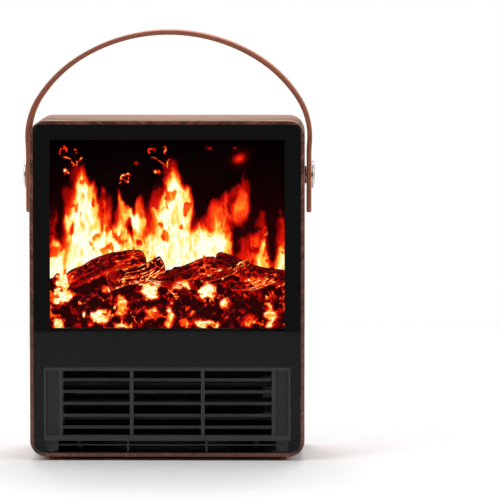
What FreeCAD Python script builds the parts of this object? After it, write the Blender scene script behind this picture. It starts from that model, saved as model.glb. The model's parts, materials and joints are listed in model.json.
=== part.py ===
import FreeCAD, Part
import math
import os
import re

import Sketcher
from FreeCAD import Placement, Rotation, Vector

# Portable ceramic space heater with a flame display: a wood-look sleeve on four rubber
# feet, a black front pane with a window over a log bed, a louvred warm-air outlet below,
# a vented rear cover with three rocker switches, and a leather carry strap on two studs.
# Millimetres. The origin is on the table under the middle of the heater, the front
# faces -Y, +X is to the right when the front is looked at, and +Z is up.

doc = FreeCAD.newDocument("space_heater")
sizes = doc.addObject("Spreadsheet::Sheet", "sizes")

driving_sizes = {
    # sleeve and feet
    "shell_width": 245.0,
    "shell_height": 300.0,
    "shell_depth": 129.0,
    "shell_wall": 3.6,
    "corner_radius": 14.5,
    "front_edge_round": 1.4,
    "foot_height": 3.5,
    "foot_radius": 7.0,
    "foot_taper": 0.6,
    "foot_cup_depth": 1.8,
    "foot_cup_gap": 0.4,
    "foot_head_height": 1.2,
    "foot_screw_tip": 1.5,
    "foot_end_inset": 16.5,
    "foot_side_inset": 22.5,
    "fit_gap": 0.2,
    "screw_radius": 1.5,
    "screw_head_radius": 3.0,
    "screw_head_height": 1.8,
    "small_screw_radius": 1.2,
    "small_head_radius": 2.0,
    "small_head_height": 1.4,
    "small_screw_bite": 1.5,
    "thread_depth": 8.0,
    "drive_width": 0.8,
    "drive_length": 3.4,
    "drive_floor": 0.8,
    # front pane, print, carrier frame and window
    "pane_recess": 0.5,
    "pane_thick": 2.6,
    "print_thick": 0.4,
    "carrier_thick": 2.5,
    "carrier_step": 1.0,
    "sink_depth": 1.5,
    "toe_cut_over": 1.0,
    "window_side_margin": 14.4,
    "window_top_margin": 17.2,
    "window_band": 32.4,
    # warm-air outlet grille
    "grille_side_margin": 8.9,
    "toe_height": 10.7,
    "grille_height": 65.8,
    "grille_depth": 11.0,
    "top_rail": 3.2,
    "bottom_rail": 4.9,
    "side_rail": 2.0,
    "infill_width": 11.25,
    "end_bar_width": 3.5,
    "mullion_width": 3.3,
    "mullion_spacing": 63.4,
    "bar_setback": 0.8,
    "infill_setback": 2.4,
    "infill_thick": 1.6,
    "ear_low": 8.0,
    "ear_drop": 10.0,
    "ear_reach": 3.0,
    "ear_thick": 1.6,
    "ear_height": 7.0,
    "joint_bury": 0.5,
    "louvre_thick": 2.7,
    "louvre_chord": 8.5,
    "louvre_tilt": 7.0,
    "louvre_pitch": 10.6,
    "louvre_lift": 12.2,
    "louvre_bury": 0.4,
    "louvre_setback": 1.0,
    "toe_slot_inset": 8.0,
    "toe_divider_shift": 3.3,
    "toe_wall": 1.6,
    "toe_end_wall": 1.5,
    "toe_setback": 2.0,
    "toe_depth": 6.0,
    "toe_rise": 0.6,
    "toe_rib_drop": 3.3,
    "toe_rib_height": 1.0,
    # rear cover
    "cover_proud": 1.2,
    "cover_inset": 1.5,
    "cover_plug": 1.8,
    "cover_rim_depth": 6.0,
    "cover_rim_wall": 2.0,
    "hood_proud": 3.6,
    "hood_height": 9.5,
    "hood_length": 66.0,
    "hood_gap": 10.0,
    "hood_pitch": 20.6,
    "hood_lift": 132.7,
    "hood_wall": 1.2,
    "hood_lip": 1.0,
    "vent_slot_width": 2.4,
    "vent_slot_height": 34.0,
    "vent_slot_pitch": 9.0,
    "vent_slot_lift": 27.0,
    "block_depth": 14.0,
    "block_height": 12.0,
    "front_block_width": 6.5,
    "rear_block_width": 9.0,
    "front_row_low": 34.0,
    "front_row_drop": 24.0,
    "rear_row_inset": 17.0,
    "rear_screw_gap": 2.0,
    # carry strap and its studs
    "strap_width": 33.0,
    "strap_thick": 4.4,
    "strap_rise": 79.3,
    "strap_tab_drop": 33.5,
    "strap_tab_corner": 5.0,
    "strap_lean_start": 18.0,
    "strap_lean": 4.1,
    "strap_straight": 2.0,
    "strap_foot_radius": 140.0,
    "strap_shoulder_turn": 33.0,
    "strap_upper_radius": 118.0,
    "strap_upper_turn": 25.0,
    "slit_width": 4.2,
    "slit_rise": 25.5,
    "slit_cut_over": 20.0,
    "stud_drop": 51.5,
    "stud_radius": 12.25,
    "stud_height": 2.7,
    "stud_rim": 1.6,
    "stud_cap_rise": 0.7,
    "stud_gap": 0.3,
    "stud_skirt": 0.9,
    "stud_roll_drop": 0.25,
    "stud_roll_share": 0.35,
    "stud_tip_reach": 7.0,
    "stud_plate_width": 20.0,
    "stud_plate_thick": 1.5,
    "stud_nut_thick": 3.4,
    "stud_nut_radius": 3.2,
    "neck_radius": 1.5,
    "sleeve_wall": 0.5,
    "spin_gap": 0.05,
    "washer_thick": 1.6,
    "washer_radius": 8.0,
    "washer_gap": 0.1,
    # flame unit
    "sheet_wall": 1.5,
    "box_margin": 2.0,
    "box_depth": 75.0,
    "box_drop": 16.0,
    "box_flange": 4.0,
    "box_headroom": 1.0,
    "box_screw_shift": 1.0,
    "bush_hole": 3.5,
    "bush_proud": 2.0,
    "screen_thick": 2.0,
    "screen_setback": 31.0,
    "bed_drop": 4.0,
    "bed_thick": 6.0,
    "bed_front_gap": 1.5,
    "bed_back_gap": 0.6,
    "bed_leg": 4.0,
    "ember_board_half": 7.0,
    "board_end_gap": 12.0,
    "lamp_width": 5.0,
    "lamp_height": 1.6,
    "flame_board_lift": 9.0,
    "flame_board_height": 12.0,
    "log_radius": 9.0,
    "flicker_radius": 13.0,
    "flicker_shaft_radius": 1.5,
    "shaft_stub": 0.5,
    "shaft_socket": 4.0,
    "paddle_thick": 0.6,
    "paddle_gap": 3.0,
    "motor_stand_off": 0.3,
    "motor_socket": 5.0,
    "flicker_setback": 53.0,
    "flicker_rise": 18.5,
    "flicker_motor_radius": 14.0,
    "flicker_motor_thick": 9.0,
    "board_thick": 1.6,
    # warm-air unit
    "duct_half_width": 96.5,
    "duct_length": 39.0,
    "duct_sill": 0.7,
    "duct_lintel": 0.6,
    "duct_post_inset": 16.5,
    "duct_post_setback": 20.0,
    "post_radius": 4.0,
    "post_thread": 9.0,
    "terminal_hole_depth": 9.0,
    "terminal_hole_height": 5.0,
    "element_depth": 12.0,
    "element_setback": 7.0,
    "tube_height": 3.4,
    "cap_width": 3.5,
    "element_gap": 1.5,
    "cap_lip": 1.0,
    "tab_width": 6.3,
    "tab_thick": 0.8,
    "tab_reach": 9.0,
    "cutout_shift": 60.0,
    "cutout_radius": 7.0,
    "cutout_height": 3.5,
    "cutout_hat_radius": 5.0,
    "cutout_hat_height": 2.0,
    "cutout_ear_span": 22.0,
    "cutout_ear_width": 6.0,
    "cutout_ear_thick": 0.8,
    "fuse_shift": 12.0,
    "fuse_clip_width": 8.0,
    "fuse_clip_depth": 3.0,
    "fuse_clip_height": 2.0,
    "fuse_length": 14.0,
    "fuse_lift": 3.0,
    "fuse_radius": 1.8,
    "fin_end_gap": 1.0,
    "fin_pitch": 2.5,
    "fin_thick": 0.3,
    "wheel_radius": 24.0,
    "wheel_length": 164.0,
    "wheel_disc": 1.5,
    "blade_chord": 6.0,
    "blade_thick": 0.8,
    "shaft_radius": 2.0,
    "scroll_gap": 4.0,
    "wheel_gap": 2.3,
    "wheel_shift": 6.0,
    "wheel_end_gap": 2.5,
    "wheel_post_left": 10.0,
    "wheel_post_right": 12.0,
    "blade_inset": 0.3,
    "tongue_gap": 0.5,
    "tongue_thick": 1.5,
    "tongue_rise": 8.0,
    "bearing_radius": 5.0,
    "shaft_hole_radius": 6.0,
    "motor_gap": 4.5,
    "stator_length": 16.0,
    "stator_height": 40.0,
    "rotor_radius": 10.6,
    "rotor_gap": 0.4,
    "bolt_spread": 19.0,
    "bolt_front_rise": 16.0,
    "bolt_back_rise": 17.0,
    "bolt_head_height": 2.0,
    "spacer_wall": 1.4,
    "stator_front": 23.0,
    "stator_back": 31.0,
    "stator_window_front": 15.0,
    "limb_depth": 8.0,
    "window_height": 28.0,
    "coil_overhang": 3.5,
    "coil_build": 6.0,
    "limb_height": 26.0,
    "bracket_gap": 6.0,
    "bracket_height": 44.0,
    "shaft_left": 2.5,
    "shaft_right": 5.0,
    "bush_left": 3.0,
    "bush_length": 4.5,
    # controls and inlet
    "switch_drop": 38.8,
    "switch_spacing": 22.0,
    "switch_first": 34.0,
    "bezel_width": 14.5,
    "bezel_height": 9.0,
    "bezel_proud": 1.2,
    "barrel_depth": 14.0,
    "rocker_width": 10.6,
    "rocker_height": 5.2,
    "rocker_gap": 0.4,
    "rocker_side_gap": 0.3,
    "rocker_tilt": 12.0,
    "rocker_half_thick": 1.5,
    "rocker_pin_radius": 0.8,
    "rocker_pivot_depth": 0.4,
    "pin_bite": 1.4,
    "well_depth": 7.5,
    "barrel_wall": 1.0,
    "barrel_skin": 0.9,
    "spade_thick": 0.8,
    "spade_width": 4.8,
    "spade_length": 7.0,
    "spade_shift": 3.0,
    "gland_bore": 3.3,
    "gland_radius": 6.5,
    "gland_side_inset": 27.5,
    "gland_lift": 26.5,
    "gland_depth": 13.0,
    "gland_collar": 2.0,
    "gland_lip": 2.5,
    "gland_nut_thick": 4.0,
    "gland_nut_wall": 3.0,
    "board_side_gap": 10.0,
    "board_length": 70.0,
    "board_drop": 70.0,
    "board_height": 60.0,
    "board_stand_off": 6.0,
    "board_hole_inset": 5.0,
    "standoff_radius": 3.0,
    "can_radius": 5.0,
    "can_height": 14.0,
    "tip_switch_gap": 12.0,
    "tip_switch_width": 13.0,
    "tip_switch_depth": 20.0,
    "tip_switch_height": 20.0,
    "terminal_left": 31.0,
    "terminal_right": 1.0,
    "terminal_setback": 8.0,
    "terminal_depth": 12.0,
    "terminal_height": 13.0,
}

for row, (alias, number) in enumerate(driving_sizes.items(), start=1):
    sizes.set("A%d" % row, alias)
    sizes.set("B%d" % row, str(number))
    sizes.setAlias("B%d" % row, alias)
doc.recompute()

nodes = {}
bushes = []


# ---------------------------------------------------------------- helpers

def bound(text):
    """Point each size name of an expression at the sheet."""
    return re.sub(r"[A-Za-z_]\w*", lambda word: "sizes." + word.group(0)
                  if word.group(0) in driving_sizes else word.group(0), text)


def bind(thing, prop, text):
    """Drive one property with an expression over the sheet's sizes."""
    thing.setExpression(prop, bound(str(text)))


def keep(label, thing):
    """Name a finished sub-part: its label is its node's name."""
    thing.Label = label
    nodes[label] = thing
    return thing


def place(thing, x, y, z):
    """Bind a thing's base point."""
    bind(thing, "Placement.Base.x", x)
    bind(thing, "Placement.Base.y", y)
    bind(thing, "Placement.Base.z", z)


def block(x, y, z, turn=None):
    """A box between pairs of bounds; each pair is (low, high)."""
    solid = doc.addObject("Part::Box", "block")
    if turn:
        solid.Placement = Placement(Vector(), turn)
    for prop, (low, high) in (("Length", x), ("Width", y), ("Height", z)):
        bind(solid, prop, "(%s) - (%s)" % (high, low))
    place(solid, x[0], y[0], z[0])
    return solid


turns = {
    "x": Rotation(Vector(0, 1, 0), 90),
    "y": Rotation(Vector(1, 0, 0), -90),
    "z": Rotation(),
}


def rod(axis, start, end, centre, radius):
    """A cylinder along an axis from start to end; centre holds its other two coordinates."""
    solid = doc.addObject("Part::Cylinder", "rod")
    solid.Placement = Placement(Vector(), turns[axis])
    bind(solid, "Radius", radius)
    bind(solid, "Height", "(%s) - (%s)" % (end, start))
    point = list(centre)
    point.insert("xyz".index(axis), start)
    place(solid, *point)
    return solid


def cone(axis, start, end, centre, radius_start, radius_end):
    """A cone along an axis, as rod."""
    solid = doc.addObject("Part::Cone", "cone")
    solid.Placement = Placement(Vector(), turns[axis])
    bind(solid, "Radius1", radius_start)
    bind(solid, "Radius2", radius_end)
    bind(solid, "Height", "(%s) - (%s)" % (end, start))
    point = list(centre)
    point.insert("xyz".index(axis), start)
    place(solid, *point)
    return solid


def fuse(pieces, name="joined"):
    """Join overlapping or touching solids."""
    if len(pieces) == 1:
        return pieces[0]
    solid = doc.addObject("Part::MultiFuse", name)
    solid.Shapes = pieces
    solid.Refine = True
    return solid


def cut(base, tools, name="trimmed"):
    """Take one or more solids away from a base."""
    solid = doc.addObject("Part::Cut", name)
    solid.Base = base
    solid.Tool = group(tools) if len(tools) > 1 else tools[0]
    solid.Refine = True
    return solid


def group(pieces, name="set"):
    """Hold separate solids together as one compound."""
    if len(pieces) == 1:
        return pieces[0]
    solid = doc.addObject("Part::Compound", name)
    solid.Links = pieces
    return solid


def tube(axis, start, end, centre, inner, outer):
    """A round sleeve."""
    return cut(rod(axis, start, end, centre, outer), [rod(axis, start, end, centre, inner)])


def mirrored(text):
    """Both signs of an X expression."""
    return ["-(%s)" % text, "(%s)" % text]


def span(centre, width):
    """The pair of bounds of a width about a centre."""
    return ("(%s) - (%s) / 2" % (centre, width), "(%s) + (%s) / 2" % (centre, width))


def both_ways(half):
    """The pair of bounds about zero."""
    return ("-(%s)" % half, "(%s)" % half)


def origin_plane(body, role):
    """One of a body's own origin planes."""
    return [feature for feature in body.Origin.OriginFeatures if feature.Role == role][0]


def sketch_on(body, role, name, offset):
    """A sketch on a body's origin plane, moved along its normal by a bound offset."""
    sketch = body.newObject("Sketcher::SketchObject", name)
    sketch.AttachmentSupport = [(origin_plane(body, role), "")]
    sketch.MapMode = "FlatFace"
    bind(sketch, "AttachmentOffset.Base.z", offset)
    return sketch


def rectangle(sketch, across, up):
    """A rectangle between pairs of bounds, driven by the sheet."""
    corners = [Vector(0, 0), Vector(10, 0), Vector(10, 10), Vector(0, 10)]
    first = sketch.GeometryCount
    for k in range(4):
        sketch.addGeometry(Part.LineSegment(corners[k], corners[(k + 1) % 4]), False)
    for k in range(4):
        sketch.addConstraint(Sketcher.Constraint("Coincident", first + k, 2, first + (k + 1) % 4, 1))
    sketch.addConstraint(Sketcher.Constraint("Horizontal", first))
    sketch.addConstraint(Sketcher.Constraint("Vertical", first + 1))
    sketch.addConstraint(Sketcher.Constraint("Horizontal", first + 2))
    sketch.addConstraint(Sketcher.Constraint("Vertical", first + 3))
    bounds = [("DistanceX", 0, across[0]), ("DistanceY", 0, up[0]),
              ("DistanceX", 2, across[1]), ("DistanceY", 2, up[1])]
    for kind, corner, text in bounds:
        constraint = Sketcher.Constraint(kind, -1, 1, first + corner, 1, 1.0)
        index = sketch.addConstraint(constraint)
        bind(sketch, "Constraints[%d]" % index, text)


def circle(sketch, across, up, radius):
    """A circle about a bound centre."""
    index = sketch.addGeometry(Part.Circle(Vector(1, 1, 0), Vector(0, 0, 1), 5), False)
    for kind, text in (("DistanceX", across), ("DistanceY", up)):
        constraint = sketch.addConstraint(Sketcher.Constraint(kind, -1, 1, index, 3, 1.0))
        bind(sketch, "Constraints[%d]" % constraint, text)
    constraint = sketch.addConstraint(Sketcher.Constraint("Radius", index, 5.0))
    bind(sketch, "Constraints[%d]" % constraint, radius)


def pad(body, sketch, length, reverse=False, centred=False):
    """Thicken a sketch."""
    feature = body.newObject("PartDesign::Pad", "pad")
    feature.Profile = sketch
    bind(feature, "Length", length)
    feature.Reversed = reverse
    feature.Midplane = centred
    return feature


def pocket(body, sketch, length):
    """Cut a sketch into a body, against the sketch's normal."""
    feature = body.newObject("PartDesign::Pocket", "pocket")
    feature.Profile = sketch
    bind(feature, "Length", length)
    return feature


def long_edges(shape, direction, wanted):
    """Names of the straight edges along a direction whose midpoint is wanted."""
    names = []
    for number, edge in enumerate(shape.Edges, start=1):
        if edge.Curve.TypeId != "Part::GeomLine":
            continue
        if abs(abs(edge.tangentAt(edge.FirstParameter).dot(direction)) - 1) > 1e-6:
            continue
        if wanted(edge.CenterOfMass):
            names.append("Edge%d" % number)
    return names


def round_edges(body, feature, names, radius):
    """Round named edges of a feature."""
    rounding = body.newObject("PartDesign::Fillet", "rounding")
    rounding.Base = (feature, names)
    bind(rounding, "Radius", radius)
    return rounding


def corner_names(shape):
    """The four outermost edges along Y of an upright plate."""
    box = shape.BoundBox
    middle = (box.ZMin + box.ZMax) / 2
    reach = 0.9 * box.XMax

    def outer(point):
        high = abs(point.z - middle) > 0.45 * box.ZLength
        return high and abs(point.x) > reach
    return long_edges(shape, Vector(0, 1, 0), outer)


def upright_plate(name, half_width, up, radius, front, thick):
    """A rounded upright plate facing -Y, as a body."""
    body = doc.addObject("PartDesign::Body", name)
    outline = sketch_on(body, "XZ_Plane", name + "_outline", "-(%s)" % front)
    rectangle(outline, both_ways(half_width), up)
    plate = pad(body, outline, thick, reverse=True)
    doc.recompute()
    round_edges(body, plate, corner_names(plate.Shape), radius)
    doc.recompute()
    return body


def opening(body, name, front, depth, windows):
    """Cut rectangular openings through an upright plate from its front face."""
    outline = sketch_on(body, "XZ_Plane", name, "-(%s)" % front)
    for across, up in windows:
        rectangle(outline, across, up)
    before = body.Shape.Volume
    feature = pocket(body, outline, depth)
    doc.recompute()
    if body.Shape.Volume >= before:
        raise ValueError(name + " cuts nothing")
    return feature


# ------------------------------------------------------- shared positions

front_y = "(-(shell_depth + cover_proud + hood_proud) / 2)"
back_y = "(%s + shell_depth)" % front_y
cover_y = "(%s + cover_proud)" % back_y
cover_inner_y = "(%s - cover_plug)" % back_y
inner_x = "(shell_width / 2 - shell_wall)"
floor_z = "(foot_height + shell_wall)"
ceiling_z = "(foot_height + shell_height - shell_wall)"
pane_y = "(%s + pane_recess)" % front_y
print_y = "(%s + pane_thick)" % pane_y
carrier_y = "(%s + print_thick)" % print_y
carrier_back = "(%s + carrier_thick)" % carrier_y
plate_half = "(%s - fit_gap)" % inner_x
plate_low = "(%s + fit_gap)" % floor_z
plate_high = "(%s - fit_gap)" % ceiling_z
plate_radius = "(corner_radius - shell_wall - fit_gap)"
window_half = "(%s - window_side_margin)" % inner_x
window_high = "(foot_height + shell_height - window_top_margin)"
grille_half = "(%s - grille_side_margin)" % inner_x
grille_low = "(%s + toe_height)" % floor_z
grille_high = "(%s + grille_height)" % grille_low
window_low = "(%s + window_band)" % grille_high
toe_half = "(%s - toe_slot_inset)" % grille_half
stud_z = "(foot_height + shell_height - stud_drop)"


# ----------------------------------------------------------------- sleeve

def make_sleeve():
    """The wood-look sleeve, its feet and the screw blocks glued inside it."""
    body = doc.addObject("PartDesign::Body", "wood_shell")
    outer = sketch_on(body, "XZ_Plane", "shell_outline", "-%s" % front_y)
    rectangle(outer, both_ways("shell_width / 2"), ("foot_height", "foot_height + shell_height"))
    solid = pad(body, outer, "shell_depth", reverse=True)
    doc.recompute()
    rounded = round_edges(body, solid, corner_names(solid.Shape), "corner_radius")
    doc.recompute()
    front = body.Shape.BoundBox.YMin
    front_face = [("Face%d" % number) for number, face in enumerate(rounded.Shape.Faces, start=1)
                  if abs(face.CenterOfMass.y - front) < 1e-4]
    round_edges(body, rounded, front_face, "front_edge_round")
    doc.recompute()
    hollow = upright_plate("shell_hollow", inner_x, (floor_z, ceiling_z),
                           "corner_radius - shell_wall", front_y, "shell_depth")
    foot_holes = [rod("z", "foot_height", floor_z, (x, y), "screw_radius")
                  for x in mirrored("shell_width / 2 - foot_side_inset")
                  for y in (foot_front, foot_back)]
    stud_holes = [rod("x", low, high, ("0", stud_z), "neck_radius")
                  for low, high in (("-shell_width / 2", "-" + inner_x), (inner_x, "shell_width / 2"))]
    post_holes = [fuse([rod("z", "foot_height", floor_z, point, "screw_radius"),
                        cone("z", "foot_height", "foot_height + screw_head_height", point,
                             "screw_head_radius", "screw_radius")]) for point in post_points]
    keep("wood_shell", cut(body, [hollow] + foot_holes + stud_holes + post_holes, "sleeve"))


foot_front = "(%s + foot_end_inset)" % front_y
foot_back = "(%s - foot_end_inset)" % back_y


def make_feet():
    """Four moulded rubber feet, each held by a screw in its recess."""
    feet = []
    screws = []
    recess = "(foot_height - foot_cup_depth)"
    for x in mirrored("shell_width / 2 - foot_side_inset"):
        for y in (foot_front, foot_back):
            foot = cone("z", "0", "foot_height", (x, y), "foot_radius - foot_taper", "foot_radius")
            cup = rod("z", "0", recess, (x, y), "screw_head_radius + foot_cup_gap")
            hole = rod("z", "0", "foot_height", (x, y), "screw_radius")
            feet.append(cut(foot, [cup, hole]))
            head = rod("z", recess + " - foot_head_height", recess, (x, y), "screw_head_radius")
            shank = rod("z", recess, floor_z + " + foot_screw_tip", (x, y), "screw_radius")
            screws.append(fuse([head, shank]))
    keep("rubber_feet", group(feet))
    keep("foot_screws", group(screws))


front_screw_x = "(%s - front_block_width / 2)" % inner_x
rear_screw_x = "(%s - cover_rim_wall - fit_gap - screw_radius - rear_screw_gap)" % inner_x
front_rows = ("(%s + front_row_low)" % grille_low, "(%s - front_row_drop)" % window_high)
rear_rows = ("(%s + rear_row_inset)" % floor_z, "((%s + %s) / 2)" % (floor_z, ceiling_z),
             "(%s - rear_row_inset)" % ceiling_z)
rim_y = "(%s - cover_rim_depth)" % back_y


def make_screw_blocks():
    """Glued blocks inside the sleeve that take the front and rear screws."""
    front = []
    rear = []
    for side in (-1, 1):
        for z in front_rows:
            x = "(%d * %s)" % (side, front_screw_x)
            y = (carrier_back, carrier_back + " + block_depth")
            solid = block(span(x, "front_block_width"), y, span(z, "block_height"))
            front.append(cut(solid, [rod("y", y[0], y[0] + " + thread_depth", (x, z), "screw_radius")]))
        for z in rear_rows:
            x = "(%d * (%s - rear_block_width / 2))" % (side, inner_x)
            y = (rim_y + " - block_depth", rim_y)
            solid = block(span(x, "rear_block_width"), y, span(z, "block_height"))
            screw_x = "(%d * %s)" % (side, rear_screw_x)
            rear.append(cut(solid, [rod("y", y[1] + " - thread_depth", y[1], (screw_x, z), "screw_radius")]))
    keep("front_blocks", group(front))
    keep("rear_blocks", group(rear))


# ------------------------------------------------------------ front panel

def make_front():
    """Clear pane, black print behind it and the carrier frame that holds both."""
    grille_hole = (both_ways(grille_half + " + fit_gap"),
                   (grille_low + " - fit_gap", grille_high + " + fit_gap"))
    toe_hole = (both_ways(toe_half), (floor_z + " - toe_cut_over", grille_low + " - fit_gap"))
    window = (both_ways(window_half), (window_low, window_high))
    up = (plate_low, plate_high)

    pane = upright_plate("front_pane", plate_half, up, plate_radius, pane_y, "pane_thick")
    opening(pane, "pane_grille_hole", pane_y, "pane_thick", [grille_hole])
    opening(pane, "pane_toe_hole", pane_y, "pane_thick", [toe_hole])
    keep("front_pane", pane)

    ink = upright_plate("pane_print", plate_half, up, plate_radius, print_y, "print_thick")
    opening(ink, "print_grille_hole", print_y, "print_thick", [grille_hole])
    opening(ink, "print_toe_hole", print_y, "print_thick", [toe_hole])
    opening(ink, "print_window", print_y, "print_thick", [window])
    keep("pane_print", ink)

    carrier = upright_plate("carrier", plate_half, up, plate_radius, carrier_y, "carrier_thick")
    opening(carrier, "carrier_grille_hole", carrier_y, "carrier_thick", [grille_hole])
    opening(carrier, "carrier_toe_hole", carrier_y, "carrier_thick", [toe_hole])
    opening(carrier, "carrier_window", carrier_y, "carrier_thick",
            [(both_ways(window_half + " + carrier_step"),
              (window_low + " - carrier_step", window_high + " + carrier_step"))])
    holes = []
    screws = []
    for x in mirrored(front_screw_x):
        for z in front_rows:
            sink = (carrier_y, carrier_y + " + sink_depth")
            holes.append(rod("y", carrier_y, carrier_back, (x, z), "screw_radius"))
            holes.append(cone("y", sink[0], sink[1], (x, z), "screw_head_radius", "screw_radius"))
            head = cone("y", sink[0], sink[1], (x, z), "screw_head_radius", "screw_radius")
            shank = rod("y", sink[1], carrier_back + " + thread_depth", (x, z), "screw_radius")
            screws.append(fuse([head, shank]))
    for x, z in box_screw_points:
        holes.append(rod("y", carrier_back + " - small_screw_bite", carrier_back, (x, z),
                         "small_screw_radius"))
    keep("front_carrier", cut(carrier, holes, "carrier_drilled"))
    keep("carrier_screws", group(screws))


louvre_count = 5


def make_grille():
    """Moulded outlet grille: rails, mullions, tilted louvres, meshed ends and a toe slot."""
    front = pane_y
    back = "(%s + grille_depth)" % front
    full = (front, back)
    pieces = [
        block(both_ways(grille_half), full, (grille_high + " - top_rail", grille_high)),
        block(both_ways(grille_half), full, (grille_low, grille_low + " + bottom_rail")),
    ]
    rail_inner = "(%s - side_rail)" % grille_half
    bar_outer = "(%s - infill_width)" % rail_inner
    bar_inner = "(%s - end_bar_width)" % bar_outer
    inset = (front + " + bar_setback", back)
    infill = (front + " + infill_setback", front + " + infill_setback + infill_thick")
    toe_y = (front + " + toe_setback", front + " + toe_setback + toe_depth")
    toe_z = (floor_z + " + toe_rise", grille_low + " + joint_bury")
    for side in (-1, 1):
        def across(near, far):
            pair = ["(%d * (%s))" % (side, near), "(%d * (%s))" % (side, far)]
            return tuple(pair if side > 0 else reversed(pair))
        height = (grille_low, grille_high)
        pieces.append(block(across(rail_inner, grille_half), full, height))
        pieces.append(block(across(bar_outer, rail_inner), infill, height))
        pieces.append(block(across(bar_inner, bar_outer), inset, height))
        pieces.append(block(span("%d * mullion_spacing / 2" % side, "mullion_width"), inset, height))
        for ear_z in (grille_low + " + ear_low", grille_high + " - ear_drop"):
            ear = block(across(grille_half + " - joint_bury", grille_half + " + ear_reach"),
                        (carrier_back, carrier_back + " + ear_thick"), span(ear_z, "ear_height"))
            pieces.append(ear)
        toe_divider = "(%d * (mullion_spacing / 2 + toe_divider_shift))" % side
        pieces.append(block(span(toe_divider, "toe_wall"), toe_y, toe_z))
        end = across(toe_half + " - fit_gap - toe_end_wall", toe_half + " - fit_gap")
        pieces.append(block(end, toe_y, toe_z))
    rib_low = grille_low + " - toe_rib_drop - toe_rib_height"
    pieces.append(block(both_ways(toe_half + " - fit_gap"), toe_y, (rib_low, grille_low + " - toe_rib_drop")))
    for k in range(louvre_count):
        low = "(%s + louvre_lift + %d * louvre_pitch - louvre_thick / 2)" % (grille_low, k)
        slat = block(both_ways(bar_inner + " + louvre_bury"), ("0", "louvre_chord"), ("0", "louvre_thick"),
                     Rotation(Vector(1, 0, 0), -sizes.louvre_tilt))
        place(slat, "-(%s + louvre_bury)" % bar_inner, front + " + louvre_setback", low)
        pieces.append(slat)
    keep("outlet_grille", fuse(pieces, "grille"))


# ------------------------------------------------------------- rear cover

hood_rows = 4
slot_count = 12
hood_top = "(foot_height + hood_lift)"
hood_reach = "(hood_length + hood_gap / 2)"
gland_x = "(shell_width / 2 - gland_side_inset)"
gland_z = "(foot_height + gland_lift)"
switch_z = "(foot_height + shell_height - switch_drop)"
switch_names = ("rocker_flame", "rocker_low", "rocker_high")
switch_xs = ["(switch_first + %d * switch_spacing)" % k for k in range(len(switch_names))]
barrel_half_x = "(rocker_width / 2 + rocker_gap + barrel_wall)"
barrel_half_z = "(rocker_height / 2 + rocker_side_gap + barrel_skin)"


def hood_shape(x, low, high, y, round_radius):
    """A quarter-round hood: a flat front that rolls back to the cover at its top."""
    front = block(x, (y, y + " + %s" % round_radius), (low, "%s - %s" % (high, round_radius)))
    roll = rod("x", x[0], x[1], (y, "%s - %s" % (high, round_radius)), round_radius)
    outside = block(x, (y, y + " + %s" % round_radius),
                    ("%s - %s" % (high, round_radius), high))
    quarter = doc.addObject("Part::Common", "quarter_round")
    quarter.Base = roll
    quarter.Tool = outside
    return fuse([front, quarter])


def make_rear_cover():
    """Moulded rear cover with hooded air inlets, a slot field and switch cut-outs."""
    flange = upright_plate("cover_flange", "shell_width / 2 - cover_inset",
                           ("foot_height + cover_inset", "foot_height + shell_height - cover_inset"),
                           "corner_radius - cover_inset", back_y, "cover_proud")
    plug = upright_plate("cover_plug_plate", plate_half, (plate_low, plate_high), plate_radius,
                         rim_y, "cover_rim_depth")
    hollow = upright_plate("cover_rim_hollow", plate_half + " - cover_rim_wall",
                           (plate_low + " + cover_rim_wall", plate_high + " - cover_rim_wall"),
                           plate_radius + " - cover_rim_wall", rim_y, "cover_rim_depth - cover_plug")
    solids = [flange, cut(plug, [hollow])]
    holes = []
    for k in range(hood_rows):
        low = "(%s + %d * hood_pitch)" % (hood_top, k)
        high = "(%s + hood_height)" % low
        for x in (("-" + hood_reach, "-hood_gap / 2"), ("hood_gap / 2", hood_reach)):
            solids.append(hood_shape(x, low, high, cover_y, "hood_proud"))
            inner = ("%s + hood_wall" % x[0], "%s - hood_wall" % x[1])
            holes.append(hood_shape(inner, low, high + " - hood_wall", cover_y,
                                    "(hood_proud - hood_wall)"))
            holes.append(block(inner, (cover_inner_y, cover_y),
                               (low + " + hood_lip", high + " - hood_wall")))
    for k in range(slot_count):
        centre = "(%.1f * vent_slot_pitch)" % (k - (slot_count - 1) / 2)
        low = "(foot_height + vent_slot_lift)"
        holes.append(block(span(centre, "vent_slot_width"), (cover_inner_y, cover_y),
                           (low, low + " + vent_slot_height")))
    for x in switch_xs:
        holes.append(block(span(x, "2 * %s" % barrel_half_x), (cover_inner_y, cover_y),
                           span(switch_z, "2 * %s" % barrel_half_z)))
    holes.append(rod("y", cover_inner_y, cover_y, (gland_x, gland_z), "gland_radius"))
    screws = []
    for side in (-1, 1):
        for z in rear_rows:
            point = ("(%d * %s)" % (side, rear_screw_x), z)
            holes.append(rod("y", cover_inner_y, cover_y, point, "screw_radius"))
            shank = rod("y", rim_y + " - thread_depth", cover_y, point, "screw_radius")
            head = rod("y", cover_y, cover_y + " + screw_head_height", point, "screw_head_radius")
            drive_y = (cover_y + " + drive_floor", cover_y + " + screw_head_height")
            slots = [block(span(point[0], a), drive_y, span(point[1], b))
                     for a, b in (("drive_width", "drive_length"), ("drive_length", "drive_width"))]
            screws.append(cut(fuse([shank, head]), [fuse(slots)]))
    keep("rear_cover", cut(fuse(solids, "cover_solid"), holes, "cover_vented"))
    keep("cover_screws", group(screws))


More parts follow.
